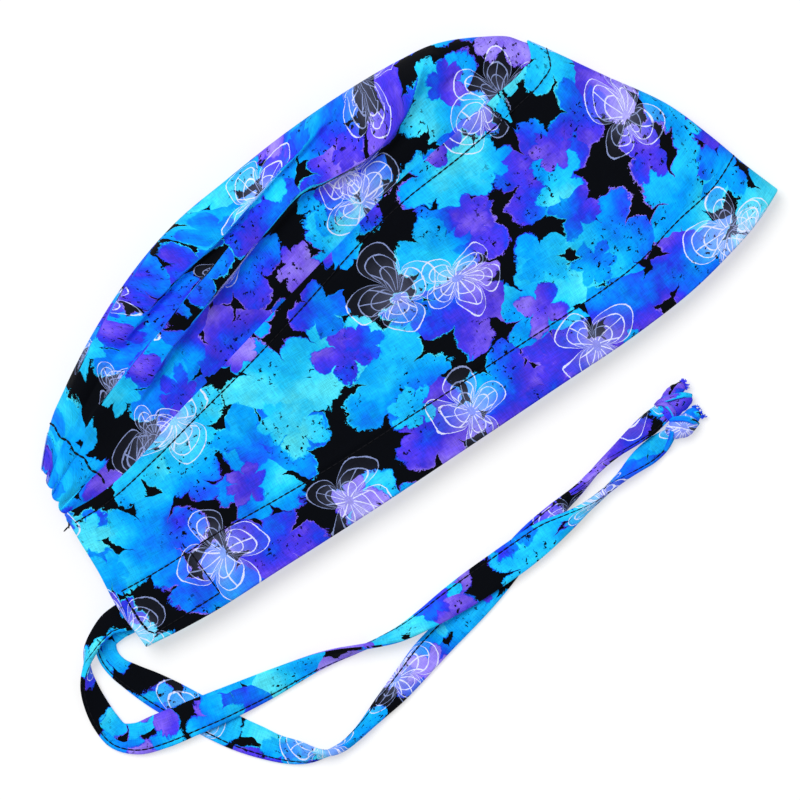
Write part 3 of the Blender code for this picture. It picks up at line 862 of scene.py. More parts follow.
# %% Routes of the ties
# From the sewn end to the knot, in the plan:
# x, y, height of the lowest edge, share of TIE_WIDTH, roll in degrees
TIE_UPPER_ROUTE = np.array([
    (0.0250, 0.0110, 0.0068, 1.00, 0),
    (0.0120, 0.0127, 0.0068, 1.00, 0),
    (0.0005, 0.0148, 0.0068, 0.98, 0),
    (-0.0064, 0.0161, 0.0060, 0.74, 5),
    (-0.0129, 0.0148, 0.0050, 0.58, 10),
    (-0.0191, 0.0119, 0.0034, 0.50, 38),
    (-0.0237, 0.0080, 0.0014, 0.46, 92),
    (-0.0279, 0.0009, 0.0004, 0.62, 148),
    (-0.0303, -0.0077, 0.0003, 0.78, 170),
    (-0.0311, -0.0150, 0.0003, 0.86, 179),
    (-0.0302, -0.0224, 0.0004, 0.90, 180),
    (-0.0250, -0.0275, 0.0011, 1.02, 180),
    (-0.0155, -0.0307, 0.0022, 1.14, 180),
    (-0.0027, -0.0338, 0.0026, 1.13, 180),
    (0.0080, -0.0363, 0.0027, 1.10, 180),
    (0.0182, -0.0385, 0.0016, 1.02, 180),
    (0.0304, -0.0410, 0.0003, 0.90, 182),
    (0.0422, -0.0431, 0.0003, 0.74, 194),
    (0.0508, -0.0448, 0.0003, 0.64, 208),
    (0.0595, -0.0472, 0.0003, 0.60, 232),
    (0.0676, -0.0501, 0.0003, 0.58, 256),
    (0.0760, -0.0529, 0.0005, 0.56, 286),
    (0.0850, -0.0552, 0.0014, 0.60, 318),
    (0.0950, -0.0562, 0.0026, 0.72, 340),
    (0.1085, -0.0567, 0.0028, 0.94, 353),
    (0.1199, -0.0570, 0.0028, 1.05, 359),
    (0.1318, -0.0573, 0.0028, 1.09, 360),
    (0.1436, -0.0574, 0.0028, 1.08, 360),
    (0.1555, -0.0573, 0.0028, 0.95, 360),
    (0.1668, -0.0579, 0.0026, 0.60, 376),
    (0.1770, -0.0577, 0.0018, 0.35, 416),
    (0.1859, -0.0571, 0.0008, 0.28, 450),
    (0.1940, -0.0562, 0.0003, 0.42, 492),
    (0.2010, -0.0553, 0.0003, 0.62, 522),
    (0.2085, -0.0549, 0.0003, 0.74, 538),
    (0.2145, -0.0544, 0.0003, 0.66, 540),
    (0.2195, -0.0538, 0.0014, 0.40, 540),
])

TIE_LOWER_ROUTE = np.array([
    (0.0250, 0.0100, 0.0036, 1.00, 0),
    (0.0120, 0.0118, 0.0036, 1.00, 0),
    (0.0005, 0.0134, 0.0034, 1.00, 0),
    (-0.0062, 0.0134, 0.0018, 0.88, 0),
    (-0.0124, 0.0110, 0.0006, 0.72, 0),
    (-0.0148, 0.0057, 0.0003, 0.68, 0),
    (-0.0145, -0.0001, 0.0003, 0.72, 0),
    (-0.0122, -0.0062, 0.0003, 0.86, 0),
    (-0.0089, -0.0134, 0.0003, 1.04, 0),
    (-0.0056, -0.0204, 0.0003, 1.14, 0),
    (-0.0012, -0.0293, 0.0003, 1.15, 0),
    (0.0038, -0.0396, 0.0003, 1.14, 0),
    (0.0088, -0.0493, 0.0003, 1.08, 0),
    (0.0139, -0.0573, 0.0003, 1.00, 0),
    (0.0180, -0.0633, 0.0003, 0.88, 0),
    (0.0235, -0.0693, 0.0003, 0.80, 12),
    (0.0289, -0.0742, 0.0003, 0.64, 46),
    (0.0340, -0.0771, 0.0003, 0.44, 88),
    (0.0398, -0.0784, 0.0003, 0.31, 118),
    (0.0469, -0.0779, 0.0003, 0.37, 150),
    (0.0543, -0.0765, 0.0003, 0.48, 172),
    (0.0610, -0.0750, 0.0003, 0.63, 180),
    (0.0699, -0.0731, 0.0003, 0.80, 180),
    (0.0789, -0.0708, 0.0003, 0.91, 180),
    (0.0880, -0.0684, 0.0003, 1.00, 180),
    (0.0964, -0.0667, 0.0003, 1.00, 180),
    (0.1057, -0.0651, 0.0003, 1.00, 180),
    (0.1180, -0.0628, 0.0003, 1.00, 180),
    (0.1355, -0.0585, 0.0003, 0.96, 180),
    (0.1506, -0.0544, 0.0003, 0.80, 180),
    (0.1653, -0.0516, 0.0003, 0.54, 194),
    (0.1769, -0.0502, 0.0003, 0.36, 226),
    (0.1840, -0.0487, 0.0006, 0.28, 260),
    (0.1893, -0.0477, 0.0012, 0.27, 288),
    (0.1972, -0.0467, 0.0018, 0.39, 326),
    (0.2062, -0.0461, 0.0022, 0.59, 350),
    (0.2150, -0.0456, 0.0024, 0.72, 359),
    (0.2215, -0.0450, 0.0026, 0.66, 360),
])

# %% Section of a tie
TIE_ROW = 0.0015
BUNCHING = 1.4
STITCH_FROM_EDGE = 0.0017
STITCH_GROOVE = 0.34
STITCH_GROOVE_WIDTH = 0.030
EDGE_POWER = 7
ACROSS = np.array([
    -0.500, -0.496, -0.482, -0.460, -0.430, -0.395, -0.365, -0.335, -0.300, -0.220, -0.120,
    0.000, 0.120, 0.220, 0.300, 0.335, 0.365, 0.395, 0.430, 0.460, 0.482, 0.496, 0.500,
])


def tie_profile(across, seam_side):
    """Half thickness of the tie as a share, across its width."""
    edge = np.sqrt(np.clip(1 - np.abs(2 * across) ** EDGE_POWER, 0, 1))
    seam = seam_side * (0.5 - STITCH_FROM_EDGE / TIE_WIDTH)
    groove = STITCH_GROOVE * np.exp(-((across - seam) / STITCH_GROOVE_WIDTH) ** 2)
    return 0.5 * edge * (1 - groove)


# %% Following a route
def along_route(route, step):
    """A smooth line through the route's rows, with a row every step of its length."""
    gone = lengths_along(route[:, :3])
    table = np.column_stack([gone, route])
    places = np.linspace(0, gone[-1], max(2, round(gone[-1] / step)) + 1)
    return np.column_stack([reading(table, i + 1, places) for i in range(route.shape[1])])


def tie_frames(route, step, width, thickness):
    """Centre, direction across, direction out of the face, width and thickness along a tie."""
    rows = along_route(route, step)
    ahead = np.gradient(rows[:, :3], axis=0)
    ahead /= np.linalg.norm(ahead, axis=1)[:, None]
    left = np.stack([-ahead[:, 1], ahead[:, 0], np.zeros(len(rows))], -1)
    left /= np.linalg.norm(left, axis=1)[:, None]
    up = np.cross(ahead, left)
    roll = np.radians(rows[:, 4])[:, None]
    across = np.cos(roll) * left + np.sin(roll) * up
    out = -np.sin(roll) * left + np.cos(roll) * up
    widths = width * rows[:, 3]
    depths = thickness * (1 + BUNCHING * (1 - np.minimum(rows[:, 3], 1)))
    centre = rows[:, :3].copy()
    centre[:, 2] += (widths * np.abs(np.sin(roll[:, 0])) + depths * np.abs(np.cos(roll[:, 0]))) / 2
    return centre, across, out, widths, depths


def strip(name, frames, seam_side, materials):
    """A soft flat strip along the frames, closed round its section and at both ends."""
    centre, across, out, widths, depths = frames
    shares = np.concatenate([ACROSS, ACROSS[::-1][1:]])
    face = np.concatenate([np.ones(len(ACROSS)), -np.ones(len(ACROSS) - 1)])
    half = tie_profile(shares, seam_side) * face
    points = (
        centre[None]
        + shares[:, None, None] * (across * widths[:, None])[None]
        + half[:, None, None] * (out * depths[:, None])[None]
    )
    gone = lengths_along(centre)
    round_section = np.concatenate([ACROSS, 1 - ACROSS[::-1][1:]]) * TIE_WIDTH
    flat = np.stack(np.broadcast_arrays(gone[None, :], round_section[:, None]), -1)
    mesh = closed_tube(name, points, flat)
    print(name, round(float(gone[-1]), 4), "m long,", len(mesh.polygons) * 2, "triangles")
    return add_piece(name, mesh, materials)


# %% The two ties
UPPER_FRAMES = tie_frames(TIE_UPPER_ROUTE, TIE_ROW, TIE_WIDTH, TIE_THICKNESS)
LOWER_FRAMES = tie_frames(TIE_LOWER_ROUTE, TIE_ROW, TIE_WIDTH, TIE_THICKNESS)
UPPER_SEAM_SIDE, LOWER_SEAM_SIDE = 1, -1
tie_upper = strip("tie_upper_strap", UPPER_FRAMES, UPPER_SEAM_SIDE, [UPPER_TIE_COTTON])
tie_lower = strip("tie_lower_strap", LOWER_FRAMES, LOWER_SEAM_SIDE, [LOWER_TIE_COTTON])
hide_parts("tie_upper")
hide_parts("tie_lower")

# %% [markdown]
# ## Stitching
#
# Every seam is topstitched in black. A stitch is a short grain of thread that stands a little proud and
# dips into the cloth at its ends. Each is a stretched sphere of a few faces, laid along a line with its long
# axis on the line and its short one out of the cloth. The stitches of one line are one piece.

# %% Laying stitches along lines
STITCH_LENGTH = 0.0028
STITCH_GAP = -0.00010
THREAD_RADIUS = 0.00034
THREAD_LIFT = 0.00010
STITCH_MERIDIANS, STITCH_PARALLELS = 6, 5


def stitched(name, lines, radius=THREAD_RADIUS):
    """Stitches along lines of points, each line with the ways out of the cloth."""
    bm = bmesh.new()
    count = 0
    for points, outs in lines:
        gone = lengths_along(points)
        pieces = max(1, round(gone[-1] / STITCH_LENGTH))
        marks = np.linspace(0, gone[-1], pieces + 1)
        spots = np.stack([np.interp(marks, gone, points[:, i]) for i in range(3)], -1)
        middles = (spots[1:] + spots[:-1]) / 2
        raised = np.stack([np.interp((marks[1:] + marks[:-1]) / 2, gone, outs[:, i]) for i in range(3)], -1)
        for start, end, middle, out in zip(spots[:-1], spots[1:], middles, raised):
            along = Vector(end - start)
            length = along.length - STITCH_GAP
            along.normalize()
            side = Vector(out).cross(along).normalized()
            up = along.cross(side)
            place = Vector(middle - CENTRE) + up * THREAD_LIFT
            grain = Matrix((along * length / 2, side * radius, up * radius)).transposed().to_4x4()
            bmesh.ops.create_uvsphere(
                bm, u_segments=STITCH_MERIDIANS, v_segments=STITCH_PARALLELS, radius=1,
                matrix=Matrix.Translation(place) @ grain @ Matrix.Rotation(math.pi / 2, 4, "Y"),
            )
            count += 1
    mesh = mesh_of(bm, name)
    print(name, count, "stitches,", len(mesh.polygons) * 2, "triangles")
    return add_piece(name, mesh, [THREAD])


# %% Stitching along the ties
SEWN_IN = 16


def tie_seam(frames, seam_side):
    """The seam line on both faces of a tie."""
    centre, across, out, widths, depths = frames
    seam = seam_side * (0.5 - STITCH_FROM_EDGE / TIE_WIDTH)
    half = float(tie_profile(np.array(seam), seam_side))
    middle = centre + seam * across * widths[:, None]
    upper = middle + half * out * depths[:, None]
    under = middle - half * out * depths[:, None]
    return [(upper[SEWN_IN:], out[SEWN_IN:]), (under[SEWN_IN:], -out[SEWN_IN:])]


upper_seam = stitched("tie_upper_stitching", tie_seam(UPPER_FRAMES, UPPER_SEAM_SIDE))
lower_seam = stitched("tie_lower_stitching", tie_seam(LOWER_FRAMES, LOWER_SEAM_SIDE))

# %% [markdown]
# ## Band
#
# The band is one long piece of cotton, folded at the front, with its brim edge turned inside as a hem and
# its top edge turned under along the seam. All of it is a single sheet here: the rows start at the end of
# the hem's inner ply, go round the brim, up the outer face, and round the seam's edge to a short hidden ply.

# %% Relief of the band
BAND_SWELL = 0.00035
SWELL_SEED = 5
SWELL_FREE = 0.012
HEM_STEP = 0.00025
HEM_SLOPE = 0.0012
GROOVE_DEPTH = 0.00028
GROOVE_WIDTH = 0.0007
PUCKER_LENGTH = 0.0085
PUCKER_HEIGHT = 0.00016
PUCKER_REACH = 0.0050
# share of the band's length, distance of the hem's stitching from the brim
HEM_STITCH = np.array([
    (0.00, 0.0245), (0.065, 0.0253), (0.12, 0.0260), (0.16, 0.0261), (0.20, 0.0255), (0.26, 0.0247),
    (0.35, 0.0240), (0.48, 0.0237), (0.60, 0.0234), (0.71, 0.0235), (0.80, 0.0233), (0.84, 0.0240),
    (0.87, 0.0250), (0.90, 0.0250), (0.93, 0.0242), (0.965, 0.0234), (1.00, 0.0236),
])
# share of the band's length, distance of the topstitch from the seam's edge
SEAM_STITCH = np.array([
    (0.00, 0.0050), (0.15, 0.0048), (0.22, 0.0064), (0.30, 0.0070), (0.45, 0.0072), (0.52, 0.0066),
    (0.60, 0.0058), (0.68, 0.0068), (0.75, 0.0082), (0.83, 0.0087), (0.92, 0.0092), (1.00, 0.0078),
])
DART_TOP = (0.2403, 0.0975)
DART_END = (0.2406, 0.0768)
DART_WIDTH = 0.0042
DART_RISE = 0.0016
DART_EDGE = 0.0007
DART_HIDDEN = 0.0170
DART_POINT = 0.05
DART_FADE = 2.5
PUCKER_SHIFT, PUCKER_WANDER = 2, 11


def groove(distance):
    """The dent that a line of stitches pulls into the cloth."""
    return -GROOVE_DEPTH * np.exp(-((distance / GROOVE_WIDTH) ** 2))


def pucker(distance, along, length):
    """Small ripples beside a line of stitches."""
    shift = PUCKER_SHIFT * np.sin(PUCKER_WANDER * along)
    ripple = np.sin(2 * math.pi * along * length / PUCKER_LENGTH + shift)
    return PUCKER_HEIGHT * ripple * np.exp(-np.abs(distance) / PUCKER_REACH)


def dart_strip(points):
    """1 on the pinched pleat that runs down from the seam and tapers to a point, and 0 beside it."""
    down = (DART_TOP[1] - points[..., 1]) / (DART_TOP[1] - DART_END[1])
    width = DART_WIDTH * np.clip(1 - down, DART_POINT, 1)
    across = (points[..., 0] - DART_TOP[0]) / width
    body = eased((1 - np.abs(across)) * width / DART_EDGE)
    return body * eased((1 - down) * DART_FADE) * (points[..., 1] < DART_TOP[1] + SEAM_LAP)


def band_relief(points):
    """Height of the band's detail over its smooth folded shape."""
    from_brim, _, _, along = by_rows(BRIM_LINE, points)
    from_seam = by_rows(SEAM_LINE, points)[0]
    relief = BAND_SWELL * swells(points, SWELL_SEED) * eased(from_seam / SWELL_FREE)
    relief += HEM_STEP * (1 - eased((from_brim - HEM_DEPTH) / HEM_SLOPE))
    from_hem_line = from_brim - reading(HEM_STITCH, 1, along)
    from_seam_line = from_seam - reading(SEAM_STITCH, 1, along)
    for distance in (from_hem_line, from_seam_line):
        relief += groove(distance) + pucker(distance, along, CAP_LENGTH)
    return relief + DART_RISE * dart_strip(points)


# %% Rows and columns of the band
BAND_CELLS = (236, 10, 66)
BAND_FOLD_SHARE = 0.035
BRIM_RADIUS = 0.00095
SEAM_RADIUS = 0.00050
SEAM_PLY = 0.0046
HEM_ROWS, SEAM_ROWS = 15, 4
COTTON_THICKNESS = 0.00045

hem_distance, hem_depth = turned_edge(BRIM_RADIUS, HEM_DEPTH, HEM_ROWS)
outer_low = np.concatenate([np.linspace(0.0022, 0.0218, 14), np.linspace(0.0225, 0.0270, 13)])
outer_high = np.concatenate([np.linspace(0.0094, 0.0036, 16), np.linspace(0.0028, 0.0008, 4)])
seam_distance, seam_depth = turned_edge(SEAM_RADIUS, SEAM_PLY, SEAM_ROWS)
from_brim = np.concatenate([hem_distance, outer_low])
from_seam = np.concatenate([outer_high, seam_distance[::-1]])
MIDDLE_ROWS = 46
DART_ROOM = 0.008

u, side = both_layers(BAND_CELLS, BAND_FOLD_SHARE)
beside_dart = np.flatnonzero((side > 0) & (np.abs(u * CAP_LENGTH - DART_TOP[0]) < DART_ROOM))
u = np.insert(u, beside_dart, (u[beside_dart] + u[beside_dart - 1]) / 2)
side = np.insert(side, beside_dart, 1)
width = np.interp(u, SHARES, BAND_WIDTH)[None, :]
low = from_brim[:, None] / width
high = 1 - from_seam[:, None] / width
share = np.linspace(0, 1, MIDDLE_ROWS + 2)[1:-1, None]
t = np.concatenate([low, low[-1:] + share * (high[:1] - low[-1:]), high])
depth = np.concatenate([
    hem_depth, np.zeros(len(outer_low) + MIDDLE_ROWS + len(outer_high)), seam_depth[::-1],
])[:, None]

# %% The band
plan = band_plan(np.broadcast_to(u, t.shape), t)
layer = np.broadcast_to(side, t.shape)
relief = np.where(layer > 0, band_relief(plan), 0.0)
band_points, way = lifted(plan, layer, relief)
band_points = band_points - way * depth[..., None]
along_band = cloth_lengths(band_points, 1) + DART_HIDDEN * dart_strip(plan) * (layer > 0)
across_band = t * width
across_band[: len(hem_distance)] *= np.where(hem_depth > BRIM_RADIUS, -1, 1)[:, None]
band_flat = np.stack([along_band, across_band], -1)
band = cloth_sheet("band_cloth", band_points, band_flat, [BAND_COTTON, BAND_WRONG], COTTON_THICKNESS)
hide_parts("side_panel", "brim_hem")

# %% [markdown]
# ## Crown
#
# The crown is gathered into an elastic casing at the nape and laid over in soft lengthwise folds. The folds
# have a crisp lower edge with a shadow under it and a gentle upper side, so each fold is a line in plan with
# its own width on either side. A short table holds the lines, from the nape towards the front.

# %% Fold lines of the crown
# rise, width above the line, width below it, sharpness, hidden cloth, then the line's points in the plan
CREASES = [
    (0.0056, 0.0110, 0.0013, 2.0, 0.0310, [
        (0.0520, 0.0800), (0.0574, 0.0818), (0.0689, 0.0864), (0.0775, 0.0901), (0.0948, 0.0943),
        (0.1049, 0.0974), (0.1178, 0.1009), (0.1290, 0.1041), (0.1379, 0.1061), (0.1494, 0.1091),
        (0.1584, 0.1106), (0.1663, 0.1078), (0.1757, 0.1065), (0.1853, 0.1055), (0.1982, 0.1070),
        (0.2100, 0.1117), (0.2202, 0.1197), (0.2278, 0.1261), (0.2316, 0.1292),
    ]),
    (0.0034, 0.0075, 0.0013, 1.8, 0.0230, [
        (0.0592, 0.1018), (0.0721, 0.1059), (0.0840, 0.1086), (0.0967, 0.1115), (0.1056, 0.1124),
        (0.1167, 0.1135), (0.1222, 0.1146), (0.1378, 0.1183), (0.1556, 0.1224), (0.1653, 0.1236),
        (0.1800, 0.1275), (0.1879, 0.1286),
    ]),
    (-0.0030, 0.0070, 0.0040, 1.2, 0.0, [
        (0.0284, 0.0885), (0.0357, 0.0917), (0.0471, 0.0972), (0.0592, 0.1012), (0.0721, 0.1050),
        (0.0784, 0.1064), (0.0959, 0.1095), (0.1209, 0.1130),
    ]),
    (0.0026, 0.0013, 0.0060, 1.8, -0.0270, [
        (0.0244, 0.0802), (0.0315, 0.0842), (0.0367, 0.0872), (0.0478, 0.0906), (0.0594, 0.0936),
        (0.0711, 0.0967), (0.0933, 0.1028), (0.1067, 0.1059), (0.1200, 0.1095), (0.1322, 0.1122),
    ]),
    (0.0026, 0.0012, 0.0080, 1.8, -0.0190, [
        (0.0235, 0.0926), (0.0303, 0.0980), (0.0527, 0.1105), (0.0730, 0.1195), (0.0982, 0.1284),
        (0.1173, 0.1329),
    ]),
    (0.0022, 0.0018, 0.0040, 1.6, 0.0, [(0.2116, 0.1126), (0.2236, 0.1202), (0.2320, 0.1265)]),
    (0.0014, 0.0030, 0.0022, 1.8, 0.0, [(0.2433, 0.0990), (0.2417, 0.1057), (0.2406, 0.1124)]),
    (-0.0012, 0.0030, 0.0030, 1.3, 0.0, [(0.2365, 0.0985), (0.2339, 0.1044), (0.2307, 0.1136)]),
]
CREASE_FADE = 0.09
CREASE_SAMPLES = 40
CROWN_SWELL = 0.00055
CROWN_SEED = 11
GATHERS = 4.5
GATHER_RISE = 0.0030
GATHER_REACH = 0.0300
GATHER_SCALLOP = 0.0017
GATHER_TUCK = 0.0060
HIDING_FADE = 0.30
GATHER_BULGE_SHARE = 0.35
HIDING_WIDTH = 0.0010
CASING_LOW = 0.0235
CASING_HIGH = 0.0190
CASING_WANDER = 0.0008
GATHER_FULLNESS = 0.8
GATHER_ROUNDNESS = 0.7
GATHER_PULL = 0.85
PLEAT_ROUNDNESS = 0.6
PLEAT_UNEVENNESS = 0.12
PLEAT_WANDER = 9
TUCK_CRISPNESS = 4
TUCK_REACH = 1.6
CASING_DENT = 1.6
SEAM_RISE = 0.0050


def casing_reach(w):
    """How far the casing's stitching lies from the nape's edge."""
    return CASING_LOW + (CASING_HIGH - CASING_LOW) * w + CASING_WANDER * np.sin(2 * math.pi * GATHERS * w)


def crown_relief(points, q, w):
    """Height of the crown's folds, gathers and swells, and how much cloth the pleat hides."""
    height = CROWN_SWELL * swells(points, CROWN_SEED)
    hidden = 0.0
    for rise, above, below, sharpness, tucked, line in CREASES:
        fine = evenly(np.array(line), np.linspace(0, 1, CREASE_SAMPLES))
        distance, _, right, along = by_rows(fine, points)
        width = np.where(right < 0, above, below)
        fade = eased(along / CREASE_FADE) * eased((1 - along) / CREASE_FADE)
        height += rise * fade * np.exp(-((distance / width) ** sharpness))
        hiding = eased(along / HIDING_FADE) * eased((1 - along) / HIDING_FADE)
        hidden = hidden + tucked * hiding * eased(0.5 - right / HIDING_WIDTH)
    from_nape = q * CROWN_RUN
    turns = GATHERS * w + PLEAT_UNEVENNESS * np.sin(PLEAT_WANDER * w)
    pleat = np.abs(np.cos(math.pi * turns)) ** PLEAT_ROUNDNESS - PLEAT_ROUNDNESS
    drawn_in = 1 - eased(from_nape / GATHER_REACH)
    height += GATHER_RISE * pleat * drawn_in
    tucks = np.tanh(TUCK_CRISPNESS * np.sin(math.pi * (turns + 0.5)))
    hidden = hidden + GATHER_TUCK * tucks * (1 - eased(from_nape / (TUCK_REACH * GATHER_REACH)))
    height += CASING_DENT * groove(from_nape - casing_reach(w))
    beyond = by_rows(STITCH_LINE, points)[0] - SEAM_LAP
    return height * eased(beyond / SEAM_RISE), hidden


# %% Rows and columns of the crown
CROWN_CELLS = (118, 24, 30)
CROWN_FOLD_SHARE = 0.22
CROWN_TIP_SHARE = 0.988
NAPE_RADIUS = 0.0011
CASING_ROWS = 12
CROWN_STEP_OUT = 0.0090
CROWN_INSET = 0.0013
UNDER_SHARE = 0.25

casing_distance, casing_depth = turned_edge(NAPE_RADIUS, CASING_DEPTH, CASING_ROWS)
outer = np.concatenate([
    np.linspace(0.0020, 0.0280, 27),
    np.linspace(0.0280, CROWN_TIP_SHARE * CROWN_RUN, 176)[1:],
])
q = np.concatenate([casing_distance, outer]) / CROWN_RUN
nape_depth = np.concatenate([casing_depth, np.zeros(len(outer))])
w, side = both_layers(CROWN_CELLS, CROWN_FOLD_SHARE)

# %% The crown
low_edge = evenly(STITCH_LINE, q)[None]
high_edge = evenly(CROWN_EDGE, q)[None]
plan = low_edge + w[:, None, None] * (high_edge - low_edge)
near_nape = 1 - eased(q * CROWN_RUN / CASING_DEPTH)
bulge = GATHER_BULGE_SHARE * NAPE_BULGE * np.sin(math.pi * w)
tufts = np.abs(np.sin(math.pi * GATHERS * w)) ** GATHER_ROUNDNESS - GATHER_PULL
plan[..., 0] -= (bulge + GATHER_SCALLOP * tufts)[:, None] * near_nape[None, :]
layer = np.broadcast_to(side[:, None], plan.shape[:-1])
relief, hidden = crown_relief(plan, q[None, :], w[:, None])
crown_points, way = lifted(plan, layer, np.where(layer > 0, relief, UNDER_SHARE * np.abs(relief)))
beyond = by_rows(STITCH_LINE, plan)[0] - SEAM_LAP
inset = CROWN_INSET * (1 - eased(beyond / CROWN_STEP_OUT)) + nape_depth[None, :]
crown_points = crown_points - way * inset[..., None]
across_crown = cloth_lengths(crown_points, 0) * (1 + GATHER_FULLNESS * near_nape) + hidden
along_crown = q * CROWN_RUN * np.where(nape_depth > NAPE_RADIUS, -1, 1)
crown_flat = np.stack([np.broadcast_to(along_crown, across_crown.shape), across_crown], -1)
crown = cloth_sheet("crown_cloth", crown_points, crown_flat, [CROWN_COTTON, CROWN_WRONG], COTTON_THICKNESS)
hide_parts("crown_panel", "nape_casing")

# %% [markdown]
# ## Stitch lines of the cap
#
# The hem line runs 23 to 26 mm from the brim, right round the front fold. The seam line runs beside the
# band's folded edge. A box of stitches holds the end of each tie between the plies of the hem: the hem line
# closes its top, and its back side is sewn twice. One line holds the casing. Each line is drawn in plan and
# lifted by the same rule as the cloth.

# %% Lines drawn on the band and the crown
LINE_STEP = 0.0012
LINE_CELLS = (260, 14, 260)


def on_band(plan_line, layer):
    """A line of the plan, on the outer face of the band."""
    points = np.asarray(plan_line)[None]
    side_of = np.broadcast_to(np.asarray(layer, float), points.shape[:-1])
    relief = np.where(side_of > 0, band_relief(points), 0.0)
    placed, out = lifted(points, side_of, relief)
    return placed[0], out[0]


def round_band(distances, from_top, start):
    """A line beside the brim, or beside the seam at the top, round the front fold from layer to layer."""
    shares, layers = both_layers(LINE_CELLS, BAND_FOLD_SHARE)
    keep = shares >= start
    shares, layers = shares[keep], layers[keep]
    place = reading(distances, 1, shares) / np.interp(shares, SHARES, BAND_WIDTH)
    return on_band(band_plan(shares, 1 - place if from_top else place), layers)


def corner_line(corners, layer):
    """Straight runs between corners of the plan, on the band."""
    corners = np.array(corners)
    runs = []
    for start, end in zip(corners, corners[1:]):
        steps = max(2, round(np.linalg.norm(end - start) / LINE_STEP))
        runs.append(on_band(start + np.linspace(0, 1, steps)[:, None] * (end - start), layer))
    return runs


BOX = [
    (0.0365, 0.0204), (0.0365, 0.0003), (0.0200, 0.0012), (0.0060, 0.0024), (0.0042, 0.0050),
    (0.0038, 0.0100), (0.0043, 0.0160), (0.0054, 0.0234),
]
BOX_SECOND = [(0.0046, 0.0052), (0.0042, 0.0100), (0.0047, 0.0158)]
HEM_START, SEAM_START = 0.013, 0.006
hem_line = round_band(HEM_STITCH, False, HEM_START)
seam_stitches = round_band(SEAM_STITCH, True, SEAM_START)
band_stitching = stitched("band_hem_stitching", [hem_line])
seam_stitching = stitched("band_seam_stitching", [seam_stitches])
boxes = corner_line(BOX, 1) + corner_line(BOX_SECOND, 1) + corner_line(BOX, -1)
box_stitching = stitched("tie_anchor_stitching", boxes)

# %% The casing line
CASING_START = 0.19
CASING_THREAD_RADIUS = 0.00055
upper_rows = np.flatnonzero((side > 0) & (w > CASING_START))
face = slice(len(casing_distance) - 1, None)
line_points, line_ways = (
    np.array([
        [np.interp(casing_reach(w[row]), q[face] * CROWN_RUN, grid[row, face, axis]) for axis in range(3)]
        for row in upper_rows
    ])
    for grid in (crown_points, way)
)
casing_stitching = stitched("casing_stitching", [(line_points, line_ways)], CASING_THREAD_RADIUS)

# %% The thread tail at the band's back end
TAIL_LINES = [
    [(0.0064, 0.0574, 0.0118), (0.0040, 0.0570, 0.0121), (0.0022, 0.0572, 0.0117), (0.0002, 0.0565, 0.0110)],
    [(0.0048, 0.0592, 0.0119), (0.0038, 0.0584, 0.0121), (0.0030, 0.0574, 0.0120), (0.0026, 0.0562, 0.0114)],
]
UPWARDS = np.tile([0.0, 0.0, 1.0], (4, 1))
thread_tail = stitched("band_thread_tail", [(np.array(line), UPWARDS) for line in TAIL_LINES])

# %% [markdown]
# ## Knots
#
# Each tie ends in a small overhand knot with a frayed tip. From above a knot shows as a wrap across the
# tie, one or two soft lobes beyond it, and the cut end. The lobes are spheres drawn out to their outline in
# plan, the wraps are short strips that arch over the tie, and the frayed threads are thin tubes.

# %% Soft lobes
LOBE_MERIDIANS, LOBE_PARALLELS = 40, 18
LOBE_FULLNESS = 0.8
LOBE_CREASE = 0.16
FRAY_RINGS = 5
FRAY_SIDES = 5
FRAY_RADIUS = 0.00046
FRAY_TAPER = 0.5
FRAY_REACH = (0.0008, 0.0030)
FRAY_SPREAD = 0.55
FRAY_BEND = 0.4
FRAY_LIFT = (-0.0003, 0.0005)


def lobe(name, outline, low, height, creases, shift, materials):
    """A soft closed lump with this outline in plan, a few radial creases and its own part of the print."""
    outline = np.array(outline)
    middle = outline.mean(axis=0)
    arms = outline - middle
    bearing = np.arctan2(arms[:, 1], arms[:, 0])
    order = np.argsort(bearing)
    reach = np.linalg.norm(arms, axis=1)[order]
    bm = bmesh.new()
    bmesh.ops.create_uvsphere(bm, u_segments=LOBE_MERIDIANS, v_segments=LOBE_PARALLELS, radius=1)
    for vert in bm.verts:
        turn = math.atan2(vert.co.y, vert.co.x)
        spread = math.hypot(vert.co.x, vert.co.y)
        arm = np.interp(turn, bearing[order], reach, period=2 * math.pi) * spread ** LOBE_FULLNESS
        rise = vert.co.z * (1 + LOBE_CREASE * math.cos(creases * turn) * spread)
        x = middle[0] + arm * math.cos(turn) - CENTRE[0]
        y = middle[1] + arm * math.sin(turn) - CENTRE[1]
        vert.co = (x, y, low + height * (0.5 + 0.5 * rise))
    lay_flat(bm, shift)
    return add_piece(name, mesh_of(bm, name), materials)


